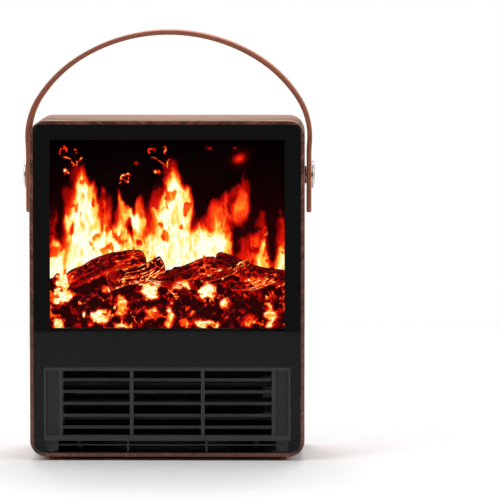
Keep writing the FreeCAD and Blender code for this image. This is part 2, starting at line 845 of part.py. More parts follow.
def make_gland():
    """Supply-lead gland through the rear cover, with its ring nut inside."""
    centre = (gland_x, gland_z)
    barrel = rod("y", cover_y + " - gland_depth", cover_y, centre, "gland_radius")
    collar = rod("y", cover_y, cover_y + " + gland_collar", centre, "gland_radius + gland_lip")
    bore = rod("y", cover_y + " - gland_depth", cover_y + " + gland_collar", centre, "gland_bore")
    keep("cord_gland", cut(fuse([barrel, collar]), [bore]))
    keep("gland_nut", tube("y", cover_inner_y + " - gland_nut_thick", cover_inner_y, centre,
                           "gland_radius", "gland_radius + gland_nut_wall"))


def make_switches():
    """Three snap-in rocker switches: hollow bodies with blade terminals, and the rockers."""
    pivot_y = cover_y + " - rocker_pivot_depth"
    bodies = []
    blades = []
    for x, name in zip(switch_xs, switch_names):
        bezel = block(span(x, "bezel_width"), (cover_y, cover_y + " + bezel_proud"),
                      span(switch_z, "bezel_height"))
        barrel = block(span(x, "2 * %s" % barrel_half_x), (cover_y + " - barrel_depth", cover_y),
                       span(switch_z, "2 * %s" % barrel_half_z))
        well = block(span(x, "rocker_width + 2 * rocker_gap"),
                     (cover_y + " - well_depth", cover_y + " + bezel_proud"),
                     span(switch_z, "rocker_height + 2 * rocker_side_gap"))
        pivot_holes = rod("z", switch_z + " - %s" % barrel_half_z, switch_z + " + %s" % barrel_half_z,
                          (x, pivot_y), "rocker_pin_radius + spin_gap")
        bodies.append(cut(fuse([bezel, barrel]), [well, pivot_holes]))
        for shift in ("- spade_shift", "+ spade_shift"):
            blades.append(block(span("(%s %s)" % (x, shift), "spade_thick"),
                                (cover_y + " - barrel_depth - spade_length", cover_y + " - barrel_depth"),
                                span(switch_z, "spade_width")))

        rocker = doc.addObject("PartDesign::Body", name)
        outline = sketch_on(rocker, "XY_Plane", name + "_outline", "0")
        half = sizes.rocker_width / 2
        thick = sizes.rocker_half_thick
        crown = thick + half * math.tan(math.radians(sizes.rocker_tilt))
        points = [Vector(-half, -thick), Vector(half, -thick), Vector(half, thick),
                  Vector(0, crown), Vector(-half, thick)]
        for k in range(len(points)):
            outline.addGeometry(Part.LineSegment(points[k], points[(k + 1) % len(points)]), False)
        pad(rocker, outline, "rocker_height", centred=True)
        pin = sketch_on(rocker, "XY_Plane", name + "_pin", "0")
        circle(pin, "0", "0", "rocker_pin_radius")
        pad(rocker, pin, "rocker_height + 2 * rocker_side_gap + pin_bite", centred=True)
        rocker.Placement = Placement(Vector(), Rotation(Vector(0, 0, 1), -sizes.rocker_tilt))
        place(rocker, x, pivot_y, switch_z)
        keep(name, rocker)
    keep("switch_bodies", group(bodies))
    keep("switch_terminals", group(blades))


# ------------------------------------------------------------ carry strap

def strap_path():
    """Right half of the strap's middle line, from the tab up to the crown.

    Headings are radians from straight up, positive towards the middle of the heater. The
    side leans outwards over a soft arc, then turns in over a shoulder arc, an upper arc and
    a crown arc. The shoulder's radius is the one that makes the crown as high as its size.
    """
    side_x = sizes.shell_width / 2 + sizes.washer_thick + sizes.strap_thick / 2
    pivot_z = sizes.foot_height + sizes.shell_height - sizes.stud_drop
    top_z = sizes.foot_height + sizes.shell_height + sizes.strap_rise - sizes.strap_thick / 2
    start_z = pivot_z + sizes.strap_lean_start
    tab_z = pivot_z - sizes.strap_tab_drop
    lean = math.radians(-sizes.strap_lean)
    shoulder = math.radians(sizes.strap_shoulder_turn)
    upper = shoulder + math.radians(sizes.strap_upper_turn)
    straight = sizes.strap_straight
    foot_arc = (-sizes.strap_foot_radius, 0.0, lean)
    upper_arc = (sizes.strap_upper_radius, shoulder, upper)
    rise = straight * math.cos(lean)
    inward = straight * math.sin(lean)
    for radius, a, b in (foot_arc, upper_arc):
        rise += radius * (math.sin(b) - math.sin(a))
        inward += radius * (math.cos(a) - math.cos(b))
    crown_share = (1 - math.sin(upper)) / math.cos(upper)
    shoulder_rise = math.sin(shoulder) - math.sin(lean)
    shoulder_inward = math.cos(lean) - math.cos(shoulder)
    shoulder_radius = top_z - start_z - rise - (side_x - inward) * crown_share
    shoulder_radius /= shoulder_rise - shoulder_inward * crown_share
    crown_radius = (side_x - inward - shoulder_radius * shoulder_inward) / math.cos(upper)
    arcs = [foot_arc, (shoulder_radius, lean, shoulder), upper_arc]
    return side_x, start_z, tab_z, arcs, straight, lean, upper, crown_radius


def strap_edge(offset):
    """Arc and line edges of the strap's outline at an offset outwards of its middle line."""
    side_x, start_z, tab_z, arcs, straight, lean, upper, crown_radius = strap_path()
    x = side_x + offset
    z = start_z
    right = [Part.LineSegment(Vector(x, tab_z), Vector(x, z))]

    def turn(x, z, radius, a, b):
        centre = Vector(x - radius * math.cos(a), z - radius * math.sin(a))
        points = [centre + Vector(radius * math.cos(t), radius * math.sin(t))
                  for t in (a, (a + b) / 2, b)]
        right.append(Part.Arc(Vector(x, z), points[1], points[2]))
        return points[2].x, points[2].y

    for number, (radius, a, b) in enumerate(arcs):
        x, z = turn(x, z, radius + offset, a, b)
        if number == 0:
            step = Vector(-straight * math.sin(lean), straight * math.cos(lean))
            right.append(Part.LineSegment(Vector(x, z), Vector(x, z) + step))
            x, z = x + step.x, z + step.y
    radius = crown_radius + offset
    crown = Part.Arc(Vector(x, z), Vector(0, z + radius * (1 - math.sin(upper))), Vector(-x, z))
    return right, crown


def make_strap():
    """Leather carry strap: an arched band whose slit tabs button over the studs."""
    body = doc.addObject("PartDesign::Body", "strap")
    outline = sketch_on(body, "XZ_Plane", "strap_outline", "0")
    ends = []
    for offset in (sizes.strap_thick / 2, -sizes.strap_thick / 2):
        right, crown = strap_edge(offset)
        for piece in right + [crown]:
            outline.addGeometry(piece, False)
            if piece is crown:
                continue
            twin = piece.copy()
            twin.mirror(Vector(0, 0, 0), Vector(0, 1, 0))
            outline.addGeometry(twin, False)
        ends.append(right[0].StartPoint)
    for side in (-1, 1):
        outline.addGeometry(Part.LineSegment(Vector(side * ends[0].x, ends[0].y),
                                             Vector(side * ends[1].x, ends[1].y)), False)
    band = pad(body, outline, "strap_width", centred=True)
    doc.recompute()
    low = band.Shape.BoundBox.ZMin
    tab_edges = long_edges(band.Shape, Vector(1, 0, 0), lambda point: point.z < low + 0.1)
    round_edges(body, band, tab_edges, "strap_tab_corner")
    doc.recompute()
    slits = []
    slit_half = "(slit_width / 2)"
    for low, high in (("-(shell_width / 2 + slit_cut_over)", "-(shell_width / 2)"),
                      ("shell_width / 2", "shell_width / 2 + slit_cut_over")):
        slits.append(rod("x", low, high, ("0", stud_z), slit_half))
        slits.append(rod("x", low, high, ("0", stud_z + " + slit_rise - slit_width / 2"), slit_half))
        slits.append(block((low, high), both_ways(slit_half),
                           (stud_z, stud_z + " + slit_rise - slit_width / 2")))
    keep("carry_strap", cut(body, [fuse(slits)], "slit_strap"))


def make_studs():
    """Domed studs, spacer washers, neck sleeves, backing plates and nuts, one per side."""
    head_in = "(shell_width / 2 + washer_thick + strap_thick + stud_gap)"
    stud = doc.addObject("PartDesign::Body", "stud")
    outline = sketch_on(stud, "XY_Plane", "stud_outline", stud_z)
    face = sizes.shell_width / 2 + sizes.washer_thick + sizes.strap_thick + sizes.stud_gap
    tip = sizes.shell_width / 2 - sizes.shell_wall - sizes.stud_tip_reach
    skirt = face + sizes.stud_skirt
    neck = sizes.neck_radius
    rim = sizes.stud_radius
    cap_edge = rim - sizes.stud_rim
    cap_rise = sizes.stud_cap_rise
    cap_radius = (cap_edge ** 2 + cap_rise ** 2) / (2 * cap_rise)
    top = face + sizes.stud_height
    middle_sag = cap_radius - math.sqrt(cap_radius ** 2 - (cap_edge / 2) ** 2)
    roll = Vector(top - cap_rise - sizes.stud_roll_drop, rim - sizes.stud_roll_share * sizes.stud_rim)
    dome = Part.Arc(Vector(skirt, rim), roll, Vector(top - cap_rise, cap_edge))
    cap = Part.Arc(Vector(top - cap_rise, cap_edge), Vector(top - middle_sag, cap_edge / 2),
                   Vector(top, 0))
    lines = [(Vector(tip, 0), Vector(tip, neck)), (Vector(tip, neck), Vector(face, neck)),
             (Vector(face, neck), Vector(face, rim)), (Vector(face, rim), Vector(skirt, rim))]
    for start, end in lines:
        outline.addGeometry(Part.LineSegment(start, end), False)
    outline.addGeometry(dome, False)
    outline.addGeometry(cap, False)
    outline.addGeometry(Part.LineSegment(Vector(top, 0), Vector(tip, 0)), False)
    turned = stud.newObject("PartDesign::Revolution", "turned")
    turned.Profile = outline
    turned.ReferenceAxis = (outline, ["H_Axis"])
    turned.Angle = 360
    doc.recompute()
    twin = doc.addObject("Part::Mirroring", "left_stud")
    twin.Source = stud
    twin.Normal = Vector(1, 0, 0)
    keep("strap_studs", group([stud, twin]))

    def pair(low, high, inner, outer):
        rings = []
        for a, b in ((low, high), ("-(%s)" % high, "-(%s)" % low)):
            rings.append(tube("x", a, b, ("0", stud_z), inner, outer))
        return group(rings)

    keep("strap_washers", pair("shell_width / 2", "shell_width / 2 + washer_thick - washer_gap",
                               "neck_radius", "washer_radius"))
    keep("strap_sleeves", pair("shell_width / 2 + washer_thick", head_in + " - washer_gap",
                               "neck_radius + spin_gap", "neck_radius + sleeve_wall"))
    plates = []
    nuts = []
    for side in (-1, 1):
        for low, high, make in (("- stud_plate_thick", "", "plate"),
                                ("- stud_plate_thick - stud_nut_thick", "- stud_plate_thick", "nut")):
            bounds = ["%d * (%s %s)" % (side, inner_x, low), "%d * (%s %s)" % (side, inner_x, high)]
            near, far = bounds if side > 0 else reversed(bounds)
            hole = rod("x", near, far, ("0", stud_z), "neck_radius")
            if make == "plate":
                solid = block((near, far), both_ways("stud_plate_width / 2"), span(stud_z, "stud_plate_width"))
                plates.append(cut(solid, [hole]))
            else:
                solid = doc.addObject("Part::Prism", "hexagon")
                solid.Placement = Placement(Vector(), turns["x"])
                solid.Polygon = 6
                bind(solid, "Circumradius", "stud_nut_radius")
                bind(solid, "Height", "(%s) - (%s)" % (far, near))
                place(solid, near, "0", stud_z)
                nuts.append(cut(solid, [hole]))
    keep("stud_plates", group(plates))
    keep("stud_nuts", group(nuts))


# ------------------------------------------------------------- flame unit

box_inner = "(%s + box_margin)" % window_half
box_outer = "(%s + sheet_wall)" % box_inner
box_low = "(%s - box_drop)" % window_low
box_high = "(%s + box_margin + box_headroom + sheet_wall)" % window_high
box_floor = "(%s + sheet_wall)" % box_low
box_back = "(%s + box_depth)" % carrier_back
box_screw_points = [(x, z) for x in mirrored(box_outer + " + box_flange / 2")
                    for z in (box_low + " - box_flange / 2 + box_screw_shift",
                              box_high + " + box_flange / 2 - box_screw_shift")]
flicker_y = "(%s + flicker_setback)" % carrier_back
flicker_z = "(%s + flicker_rise)" % box_floor
screen_y = "(%s + screen_setback)" % carrier_back
bed_low = "(%s - bed_drop)" % window_low
bed_high = "(%s + bed_thick)" % bed_low


# each log: middle across, rise over the bed, yaw and tilt in degrees, length, share of the log radius
log_rows = ((-66, 10, 6, -22, 62, 1.05), (-22, 7, -9, 7, 70, 1.08),
            (30, 14, 5, 12, 50, 1.0), (72, 9, -7, -16, 48, 0.99))


def make_light_box():
    """Sheet tub behind the window, open to the front, with a screwed flange."""
    flange = (both_ways(box_outer + " + box_flange"),
              (box_low + " - box_flange", box_high + " + box_flange"))
    depth = (carrier_back, box_back)
    shell = fuse([block(both_ways(box_outer), depth, (box_low, box_high)),
                  block(flange[0], (carrier_back, carrier_back + " + sheet_wall"), flange[1])])
    hollow = block(both_ways(box_inner), (carrier_back, box_back + " - sheet_wall"),
                   (box_floor, box_high + " - sheet_wall"))
    holes = [hollow]
    holes.append(rod("x", "-" + box_outer, "-" + box_inner, (flicker_y, flicker_z), "bush_hole"))
    holes.append(rod("x", box_inner, box_outer, (flicker_y, flicker_z), "bush_hole"))
    screws = []
    for x, z in box_screw_points:
        back = carrier_back + " + sheet_wall"
        holes.append(rod("y", carrier_back, back, (x, z), "small_screw_radius"))
        shank = rod("y", carrier_back + " - small_screw_bite", back, (x, z), "small_screw_radius")
        head = rod("y", back, back + " + small_head_height", (x, z), "small_head_radius")
        screws.append(fuse([shank, head]))
    keep("light_box", cut(shell, holes, "tub"))
    keep("light_box_screws", group(screws))


def make_flame_display():
    """Flame screen, log bed, lamp boards and the turning flicker rotor with its motor."""
    keep("flame_screen", block(both_ways(box_inner + " - fit_gap"),
                               (screen_y, screen_y + " + screen_thick"),
                               (box_floor, box_high + " - sheet_wall")))
    bed_y = (carrier_back + " + bed_front_gap", screen_y + " - bed_back_gap")
    bed_half = "(%s - fit_gap)" % box_inner
    tray = [block(both_ways(bed_half), bed_y, (bed_low, bed_high))]
    for x in (("-" + bed_half, "-%s + bed_leg" % bed_half), (bed_half + " - bed_leg", bed_half)):
        for y in ((bed_y[0], bed_y[0] + " + bed_leg"), (bed_y[1] + " - bed_leg", bed_y[1])):
            tray.append(block(x, y, (box_floor, bed_low)))
    keep("ember_bed", fuse(tray))

    logs = []
    centre_y = "((%s + %s) / 2)" % bed_y
    for x, lift, yaw, tilt, length, girth in log_rows:
        log = doc.addObject("Part::Cylinder", "log")
        turn = Rotation(Vector(0, 0, 1), yaw).multiply(Rotation(Vector(0, 1, 0), 90 + tilt))
        start = turn.multVec(Vector(0, 0, -length / 2))
        log.Placement = Placement(start, turn)
        bind(log, "Radius", "log_radius * %.2f" % girth)
        log.Height = length
        place(log, "%s + %.3f" % (x, start.x), "%s + %.3f" % (centre_y, start.y),
              "%s + %s + %.3f" % (bed_high, lift, start.z))
        logs.append(log)
    below = block(both_ways(bed_half), (carrier_back, screen_y), (box_floor, bed_high))
    keep("log_set", cut(fuse(logs, "logs"), [below]))

    ember_y = span(centre_y, "2 * ember_board_half")
    board_x = "(%s - board_end_gap)" % box_inner
    top = box_floor + " + board_thick"
    keep("ember_lamp_board", block(both_ways(board_x), ember_y, (box_floor, top)))
    lamp_xs = ["(%d * %s / 6)" % (k, board_x) for k in range(-5, 6, 2)]
    lamps = [block(span(x, "lamp_width"), span(centre_y, "lamp_width"), (top, top + " + lamp_height"))
             for x in lamp_xs]
    wall = "(%s - sheet_wall)" % box_back
    lamp_z = flicker_z + " + flicker_radius + flame_board_lift"
    face = wall + " - board_thick"
    keep("flame_lamp_board", block(both_ways(board_x), (face, wall),
                                   span(lamp_z, "flame_board_height")))
    lamps += [block(span(x, "lamp_width"), (face + " - lamp_height", face), span(lamp_z, "lamp_width"))
              for x in lamp_xs]
    keep("display_lamps", group(lamps))

    axis = (flicker_y, flicker_z)
    pieces = [rod("x", "-%s - shaft_stub" % box_outer, box_outer + " + shaft_socket", axis,
                  "flicker_shaft_radius")]
    paddle_count = 11
    paddle_turn = 36
    for k in range(paddle_count):
        centre = "(%d * %s / 6)" % (k - paddle_count // 2, board_x)
        turn = Rotation(Vector(1, 0, 0), paddle_turn * k)
        low = turn.multVec(Vector(0, -sizes.flicker_radius, -sizes.paddle_thick / 2))
        across = span(centre, "%s / 6 - paddle_gap" % board_x)
        paddle = block(across, both_ways("flicker_radius"), ("0", "paddle_thick"), turn)
        place(paddle, across[0], "%s + %.4f" % (axis[0], low.y), "%s + %.4f" % (axis[1], low.z))
        pieces.append(paddle)
    keep("flicker_rotor", fuse(pieces, "rotor"))
    shaft_hole = "flicker_shaft_radius + spin_gap"
    bushes.append(tube("x", "-%s - bush_proud" % box_outer, "-" + box_inner, axis, shaft_hole, "bush_hole"))
    motor_x = "(%s + motor_stand_off)" % box_outer
    motor = rod("x", motor_x, motor_x + " + flicker_motor_thick", axis, "flicker_motor_radius")
    socket = rod("x", motor_x, box_outer + " + motor_socket", axis, shaft_hole)
    boss = tube("x", box_inner, motor_x, axis, shaft_hole, "bush_hole")
    keep("flicker_motor", fuse([cut(motor, [socket]), boss]))


# ---------------------------------------------------------- warm-air unit

duct_low = "(%s + bottom_rail - duct_sill)" % grille_low
duct_high = "(%s - top_rail + duct_lintel)" % grille_high
duct_front = "(%s + grille_depth + fit_gap)" % pane_y
duct_back = "(%s + duct_length)" % duct_front
scroll_radius = "(wheel_radius + scroll_gap)"
wheel_y = "(%s + wheel_gap + %s)" % (duct_back, scroll_radius)
wheel_z = "(%s + %s + sheet_wall)" % (duct_low, scroll_radius)
wheel_left = "(-wheel_length / 2 - wheel_shift)"
wheel_right = "(wheel_length / 2 - wheel_shift)"
housing_left = "(%s - wheel_end_gap - sheet_wall)" % wheel_left
housing_right = "(%s + wheel_end_gap + sheet_wall)" % wheel_right
post_half = "(duct_half_width - duct_post_inset)"
duct_post_y = "(%s + duct_post_setback)" % duct_front
post_points = [("-" + post_half, duct_post_y), (post_half, duct_post_y),
               (wheel_left + " + wheel_post_left", wheel_y), (wheel_right + " - wheel_post_right", wheel_y)]
element_y = (duct_front + " + element_setback", duct_front + " + element_setback + element_depth")
element_middle = "((%s + %s) / 2)" % element_y
element_low = "(%s + element_gap)" % duct_low
element_high = "(%s - element_gap)" % duct_high
cap_inner = "(duct_half_width - cap_width)"
tube_count = 3
fin_row_height = "((%s - %s - %d * tube_height) / %d)" % (element_high, element_low,
                                                         tube_count, tube_count + 1)


def make_duct():
    """Sheet duct from the blower to the grille, on two posts."""
    outer = block(both_ways("duct_half_width + sheet_wall"), (duct_front, duct_back),
                  (duct_low + " - sheet_wall", duct_high + " + sheet_wall"))
    posts = [rod("z", floor_z, duct_low + " - sheet_wall / 2", point, "post_radius")
             for point in post_points[:2]]
    holes = [block(both_ways("duct_half_width"), (duct_front, duct_back), (duct_low, duct_high))]
    holes += [rod("z", floor_z, floor_z + " + post_thread", point, "screw_radius")
              for point in post_points[:2]]
    for k in range(tube_count):
        holes.append(block(("-duct_half_width - sheet_wall", "-duct_half_width"),
                           span(element_middle, "terminal_hole_depth"),
                           span(tube_middle(k), "terminal_hole_height")))
    keep("air_duct", cut(fuse([outer] + posts), holes, "duct"))
    screws = []
    for point in post_points:
        head = cone("z", "foot_height", "foot_height + screw_head_height", point,
                    "screw_head_radius", "screw_radius")
        shank = rod("z", "foot_height + screw_head_height", floor_z + " + post_thread", point,
                    "screw_radius")
        screws.append(fuse([head, shank]))
    keep("base_screws", group(screws))


def tube_middle(k):
    """Height of the middle of a flat heating tube."""
    return "(%s + %d * %s + %.1f * tube_height)" % (element_low, k + 1, fin_row_height, k + 0.5)


def make_element():
    """Ceramic heating element: flat tubes, folded fins between them, end caps, terminals."""
    tubes = [block(both_ways(cap_inner), element_y, span(tube_middle(k), "tube_height"))
             for k in range(tube_count)]
    keep("ceramic_tubes", group(tubes))
    doc.recompute()

    half_thick = sizes.fin_thick / 2
    half_width = sizes.duct_half_width - sizes.cap_width - sizes.fin_end_gap
    count = int(2 * half_width / sizes.fin_pitch)
    front = tubes[0].Shape.BoundBox.YMin
    tube_lows = [piece.Shape.BoundBox.ZMin for piece in tubes]
    row_height = tube_lows[1] - tube_lows[0] - sizes.tube_height
    rows = []
    for k in range(tube_count + 1):
        low = tube_lows[0] - row_height + k * (row_height + sizes.tube_height)
        heights = (low + half_thick, low + row_height - half_thick)
        middle = []
        shifts = []
        for i in range(count + 1):
            x = -half_width + i * sizes.fin_pitch
            ends = heights if i % 2 == 0 else heights[::-1]
            middle += [Vector(x, front, z) for z in ends]
            shift = Vector(-half_thick if i % 2 == 0 else half_thick, 0, half_thick)
            shifts += [shift, shift]
        for end in (0, -1):
            shifts[end] = Vector(shifts[end].x, 0, 0)
        left = [point + shift for point, shift in zip(middle, shifts)]
        right = [point - shift for point, shift in zip(middle, shifts)]
        outline = Part.makePolygon(left + right[::-1] + left[:1])
        folded = Part.Face(outline).extrude(Vector(0, sizes.element_depth, 0))
        rows.append(folded)
    fins = doc.addObject("Part::Feature", "fins")
    fins.Shape = Part.makeCompound(rows)
    keep("fin_rows", fins)

    caps = []
    cap_y = (element_y[0] + " - cap_lip", element_y[1] + " + cap_lip")
    for side in (-1, 1):
        x = (cap_inner, "duct_half_width") if side > 0 else ("-duct_half_width", "-" + cap_inner)
        cap = block(x, cap_y, (duct_low, duct_high))
        if side < 0:
            slots = [block(x, span(element_middle, "tab_width"), span(tube_middle(k), "tab_thick"))
                     for k in range(tube_count)]
            cap = cut(cap, slots)
        caps.append(cap)
    keep("element_end_caps", group(caps))
    blades = [block(("-duct_half_width - tab_reach", "-" + cap_inner),
                    span(element_middle, "tab_width"), span(tube_middle(k), "tab_thick"))
              for k in range(tube_count)]
    keep("heater_terminals", group(blades))

    top = "(%s + sheet_wall)" % duct_high
    middle = "((%s + %s) / 2)" % (duct_front, duct_back)
    rim = top + " + cutout_height"
    base = rod("z", top, rim, ("-cutout_shift", middle), "cutout_radius")
    hat = rod("z", rim, rim + " + cutout_hat_height", ("-cutout_shift", middle), "cutout_hat_radius")
    ears = block(span("-cutout_shift", "cutout_ear_span"), span(middle, "cutout_ear_width"),
                 (top, top + " + cutout_ear_thick"))
    keep("thermal_cutout", fuse([base, hat, ears]))
    clip = block(span("-fuse_shift", "fuse_clip_width"), span(middle, "fuse_clip_depth"),
                 (top, top + " + fuse_clip_height"))
    ends = span("-fuse_shift", "fuse_length")
    capsule = rod("x", ends[0], ends[1], (middle, top + " + fuse_lift"), "fuse_radius")
    keep("thermal_fuse", fuse([clip, capsule]))


scroll_angle = 150
blade_count = 24


def make_blower():
    """Cross-flow blower: housing with its scroll, the bladed wheel, shaft and bearings."""
    plate_y = (duct_back + " + fit_gap", "%s + %s + sheet_wall" % (wheel_y, scroll_radius))
    plate_z = (duct_low + " - sheet_wall", duct_high + " + sheet_wall")
    x = (housing_left, housing_right)
    axis = (wheel_y, wheel_z)
    sector = rod("x", x[0], x[1], axis, scroll_radius + " + sheet_wall")
    sector.Angle = scroll_angle
    scroll = cut(sector, [rod("x", x[0], x[1], axis, scroll_radius)])
    scroll_low = "(%s - %s)" % (wheel_z, scroll_radius)
    apron = block(x, (plate_y[0], wheel_y), (scroll_low + " - sheet_wall", scroll_low))
    tongue_y = "%s - %s + tongue_gap" % (wheel_y, scroll_radius)
    tongue = block(x, (tongue_y, tongue_y + " + tongue_thick"), (wheel_z + " + tongue_rise", plate_z[1]))
    plates = [block((x[0], x[0] + " + sheet_wall"), plate_y, plate_z),
              block((x[1] + " - sheet_wall", x[1]), plate_y, plate_z)]
    posts = [rod("z", floor_z, scroll_low + " - sheet_wall / 2", point, "post_radius")
             for point in post_points[2:]]
    holes = [rod("z", floor_z, floor_z + " + post_thread", point, "screw_radius")
             for point in post_points[2:]]
    holes.append(rod("x", x[0], x[0] + " + sheet_wall", axis, "bearing_radius"))
    holes.append(rod("x", x[1] + " - sheet_wall", x[1], axis, "shaft_hole_radius"))
    motor_bolt_points = [(wheel_y + " - bolt_spread", wheel_z + " + bolt_front_rise"),
                         (wheel_y + " - bolt_spread", wheel_z + " - bolt_front_rise"),
                         (wheel_y + " + bolt_spread", wheel_z + " + bolt_back_rise"),
                         (wheel_y + " + bolt_spread", wheel_z + " - bolt_back_rise")]
    holes += [rod("x", x[1] + " - sheet_wall", x[1], point, "screw_radius")
              for point in motor_bolt_points]
    keep("blower_housing", cut(fuse([scroll, apron, tongue] + plates + posts), holes, "housing"))

    wheel = doc.addObject("PartDesign::Body", "wheel")
    for start in ("0", "(wheel_length - wheel_disc) / 2", "wheel_length - wheel_disc"):
        disc = sketch_on(wheel, "YZ_Plane", "disc_outline", start)
        circle(disc, "0", "0", "wheel_radius")
        circle(disc, "0", "0", "shaft_radius")
        pad(wheel, disc, "wheel_disc")
    blade = sketch_on(wheel, "YZ_Plane", "blade_outline", "0")
    rectangle(blade, ("wheel_radius - blade_chord", "wheel_radius - blade_inset"),
              ("-blade_thick / 2", "blade_thick / 2"))
    first_blade = pad(wheel, blade, "wheel_length")
    doc.recompute()
    ring = wheel.newObject("PartDesign::PolarPattern", "blade_ring")
    ring.Originals = [first_blade]
    ring.Axis = (origin_plane(wheel, "X_Axis"), [""])
    ring.Angle = 360
    ring.Occurrences = blade_count
    wheel.Tip = ring
    place(wheel, wheel_left, wheel_y, wheel_z)
    keep("blower_wheel", wheel)

    stator_left = "(%s + motor_gap)" % housing_right
    stator_right = "(%s + stator_length)" % stator_left
    bracket_left = "(%s + bracket_gap)" % stator_right
    keep("blower_shaft", rod("x", housing_left + " - shaft_left", bracket_left + " + shaft_right", axis,
                             "shaft_radius"))
    for low, high in ((housing_left + " - bush_left", housing_left + " + sheet_wall"),
                      (bracket_left, bracket_left + " + bush_length")):
        bushes.append(tube("x", low, high, axis, "shaft_radius + spin_gap", "bearing_radius"))
    keep("shaft_bushes", group(bushes))

    length = (stator_left, stator_right)
    limb_y = (wheel_y + " + stator_back - limb_depth", wheel_y + " + stator_back")
    iron = block(length, (wheel_y + " - stator_front", limb_y[1]), span(wheel_z, "stator_height"))
    gaps = [rod("x", length[0], length[1], axis, "rotor_radius + rotor_gap"),
            block(length, (wheel_y + " + stator_window_front", limb_y[0]), span(wheel_z, "window_height"))]
    gaps += [rod("x", length[0], length[1], point, "screw_radius") for point in motor_bolt_points]
    keep("motor_stator", cut(iron, gaps, "laminations"))
    winding = block((length[0] + " - coil_overhang", length[1] + " + coil_overhang"),
                    (limb_y[0] + " - coil_build", limb_y[1] + " + coil_build"),
                    span(wheel_z, "limb_height"))
    limb = block(length, limb_y, span(wheel_z, "limb_height"))
    keep("motor_coil", cut(winding, [limb]))
    keep("motor_rotor", tube("x", length[0], length[1], axis, "shaft_radius", "rotor_radius"))
    plate = block((bracket_left, bracket_left + " + sheet_wall"),
                  both_ways("stator_front"), span(wheel_z, "bracket_height"))
    place(plate, bracket_left, wheel_y + " - stator_front", wheel_z + " - bracket_height / 2")
    holes = [rod("x", bracket_left, bracket_left + " + sheet_wall", point, "screw_radius")
             for point in motor_bolt_points]
    holes.append(rod("x", bracket_left, bracket_left + " + sheet_wall", axis, "bearing_radius"))
    keep("motor_bracket", cut(plate, holes))
    bolts = []
    spacers = []
    for point in motor_bolt_points:
        shank = rod("x", housing_right + " - sheet_wall", bracket_left + " + sheet_wall", point,
                    "screw_radius")
        head = rod("x", bracket_left + " + sheet_wall",
                   bracket_left + " + sheet_wall + bolt_head_height", point, "screw_head_radius")
        bolts.append(fuse([shank, head]))
        for low, high in ((housing_right, stator_left), (stator_right, bracket_left)):
            spacers.append(tube("x", low, high, point, "screw_radius", "screw_radius + spacer_wall"))
    keep("motor_bolts", group(bolts))
    keep("motor_spacers", group(spacers))


# --------------------------------------------------------------- controls

# each part on the board: distance from its left end, length, distance from its low edge, width, height
board_rows = {
    "relay": (10, 19, 12, 16, 15),
    "plug": (36, 22, 12, 6, 8),
    "film_capacitor": (12, 18, 38, 6, 11),
}
can_place = (46, 36)


def make_controls():
    """Control board on standoffs behind the flame unit, and the tip-over switch."""
    low_x = "(-%s + board_side_gap)" % window_half
    board_low = "(%s - board_drop)" % switch_z
    face = box_back
    rise = "(%s + board_stand_off)" % face
    board_x = (low_x, low_x + " + board_length")
    board_z = (board_low, board_low + " + board_height")
    board = block(board_x, (rise, rise + " + board_thick"), board_z)
    points = [(x, z) for x in (board_x[0] + " + board_hole_inset", board_x[1] + " - board_hole_inset")
              for z in (board_z[0] + " + board_hole_inset", board_z[1] + " - board_hole_inset")]
    holes = [rod("y", rise, rise + " + board_thick", point, "small_screw_radius") for point in points]
    keep("control_board", cut(board, holes))
    keep("board_standoffs", group([tube("y", face, rise, point, "small_screw_radius", "standoff_radius")
                                   for point in points]))
    screws = []
    for point in points:
        shank = rod("y", face, rise + " + board_thick", point, "small_screw_radius")
        head = rod("y", rise + " + board_thick", rise + " + board_thick + small_head_height", point,
                   "small_head_radius")
        screws.append(fuse([shank, head]))
    keep("board_screws", group(screws))
    top = "(%s + board_thick)" % rise
    parts = [block(("%s + %d" % (board_x[0], left), "%s + %d" % (board_x[0], left + length)),
                   (top, "%s + %d" % (top, tall)),
                   ("%s + %d" % (board_z[0], low), "%s + %d" % (board_z[0], low + width)))
             for left, length, low, width, tall in board_rows.values()]
    parts.append(rod("y", top, top + " + can_height",
                     (board_x[0] + " + %d" % can_place[0], board_z[0] + " + %d" % can_place[1]),
                     "can_radius"))
    keep("board_parts", group(parts))
    switch_x = "(-%s + tip_switch_gap)" % inner_x
    keep("tip_over_switch", block((switch_x, switch_x + " + tip_switch_width"),
                                  span(wheel_y, "tip_switch_depth"),
                                  (floor_z, floor_z + " + tip_switch_height")))
    terminal_back = rim_y + " - terminal_setback"
    keep("terminal_block", block((gland_x + " - terminal_left", gland_x + " + terminal_right"),
                                 (terminal_back + " - terminal_depth", terminal_back),
                                 (floor_z, floor_z + " + terminal_height")))


make_sleeve()
make_feet()
make_screw_blocks()
make_front()
make_grille()
make_rear_cover()
make_gland()
make_switches()
make_strap()
make_studs()
make_light_box()
make_flame_display()
make_duct()
make_element()
make_blower()
make_controls()
doc.recompute()

broken = [thing.Name for thing in doc.Objects if "Invalid" in thing.State or "Error" in thing.State]
if broken:
    raise ValueError("failed features: " + ", ".join(broken))

os.makedirs("parts", exist_ok=True)
for label, thing in nodes.items():
    shape = thing.Shape
    if shape.isNull() or not shape.isValid():
        raise ValueError(label + " has no valid shape")
    shape.exportStep("parts/%s.step" % label)
    print("%-18s %3d solids %12.1f mm3" % (label, len(shape.Solids), shape.Volume))
print(len(nodes), "nodes")
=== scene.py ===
import json
import math

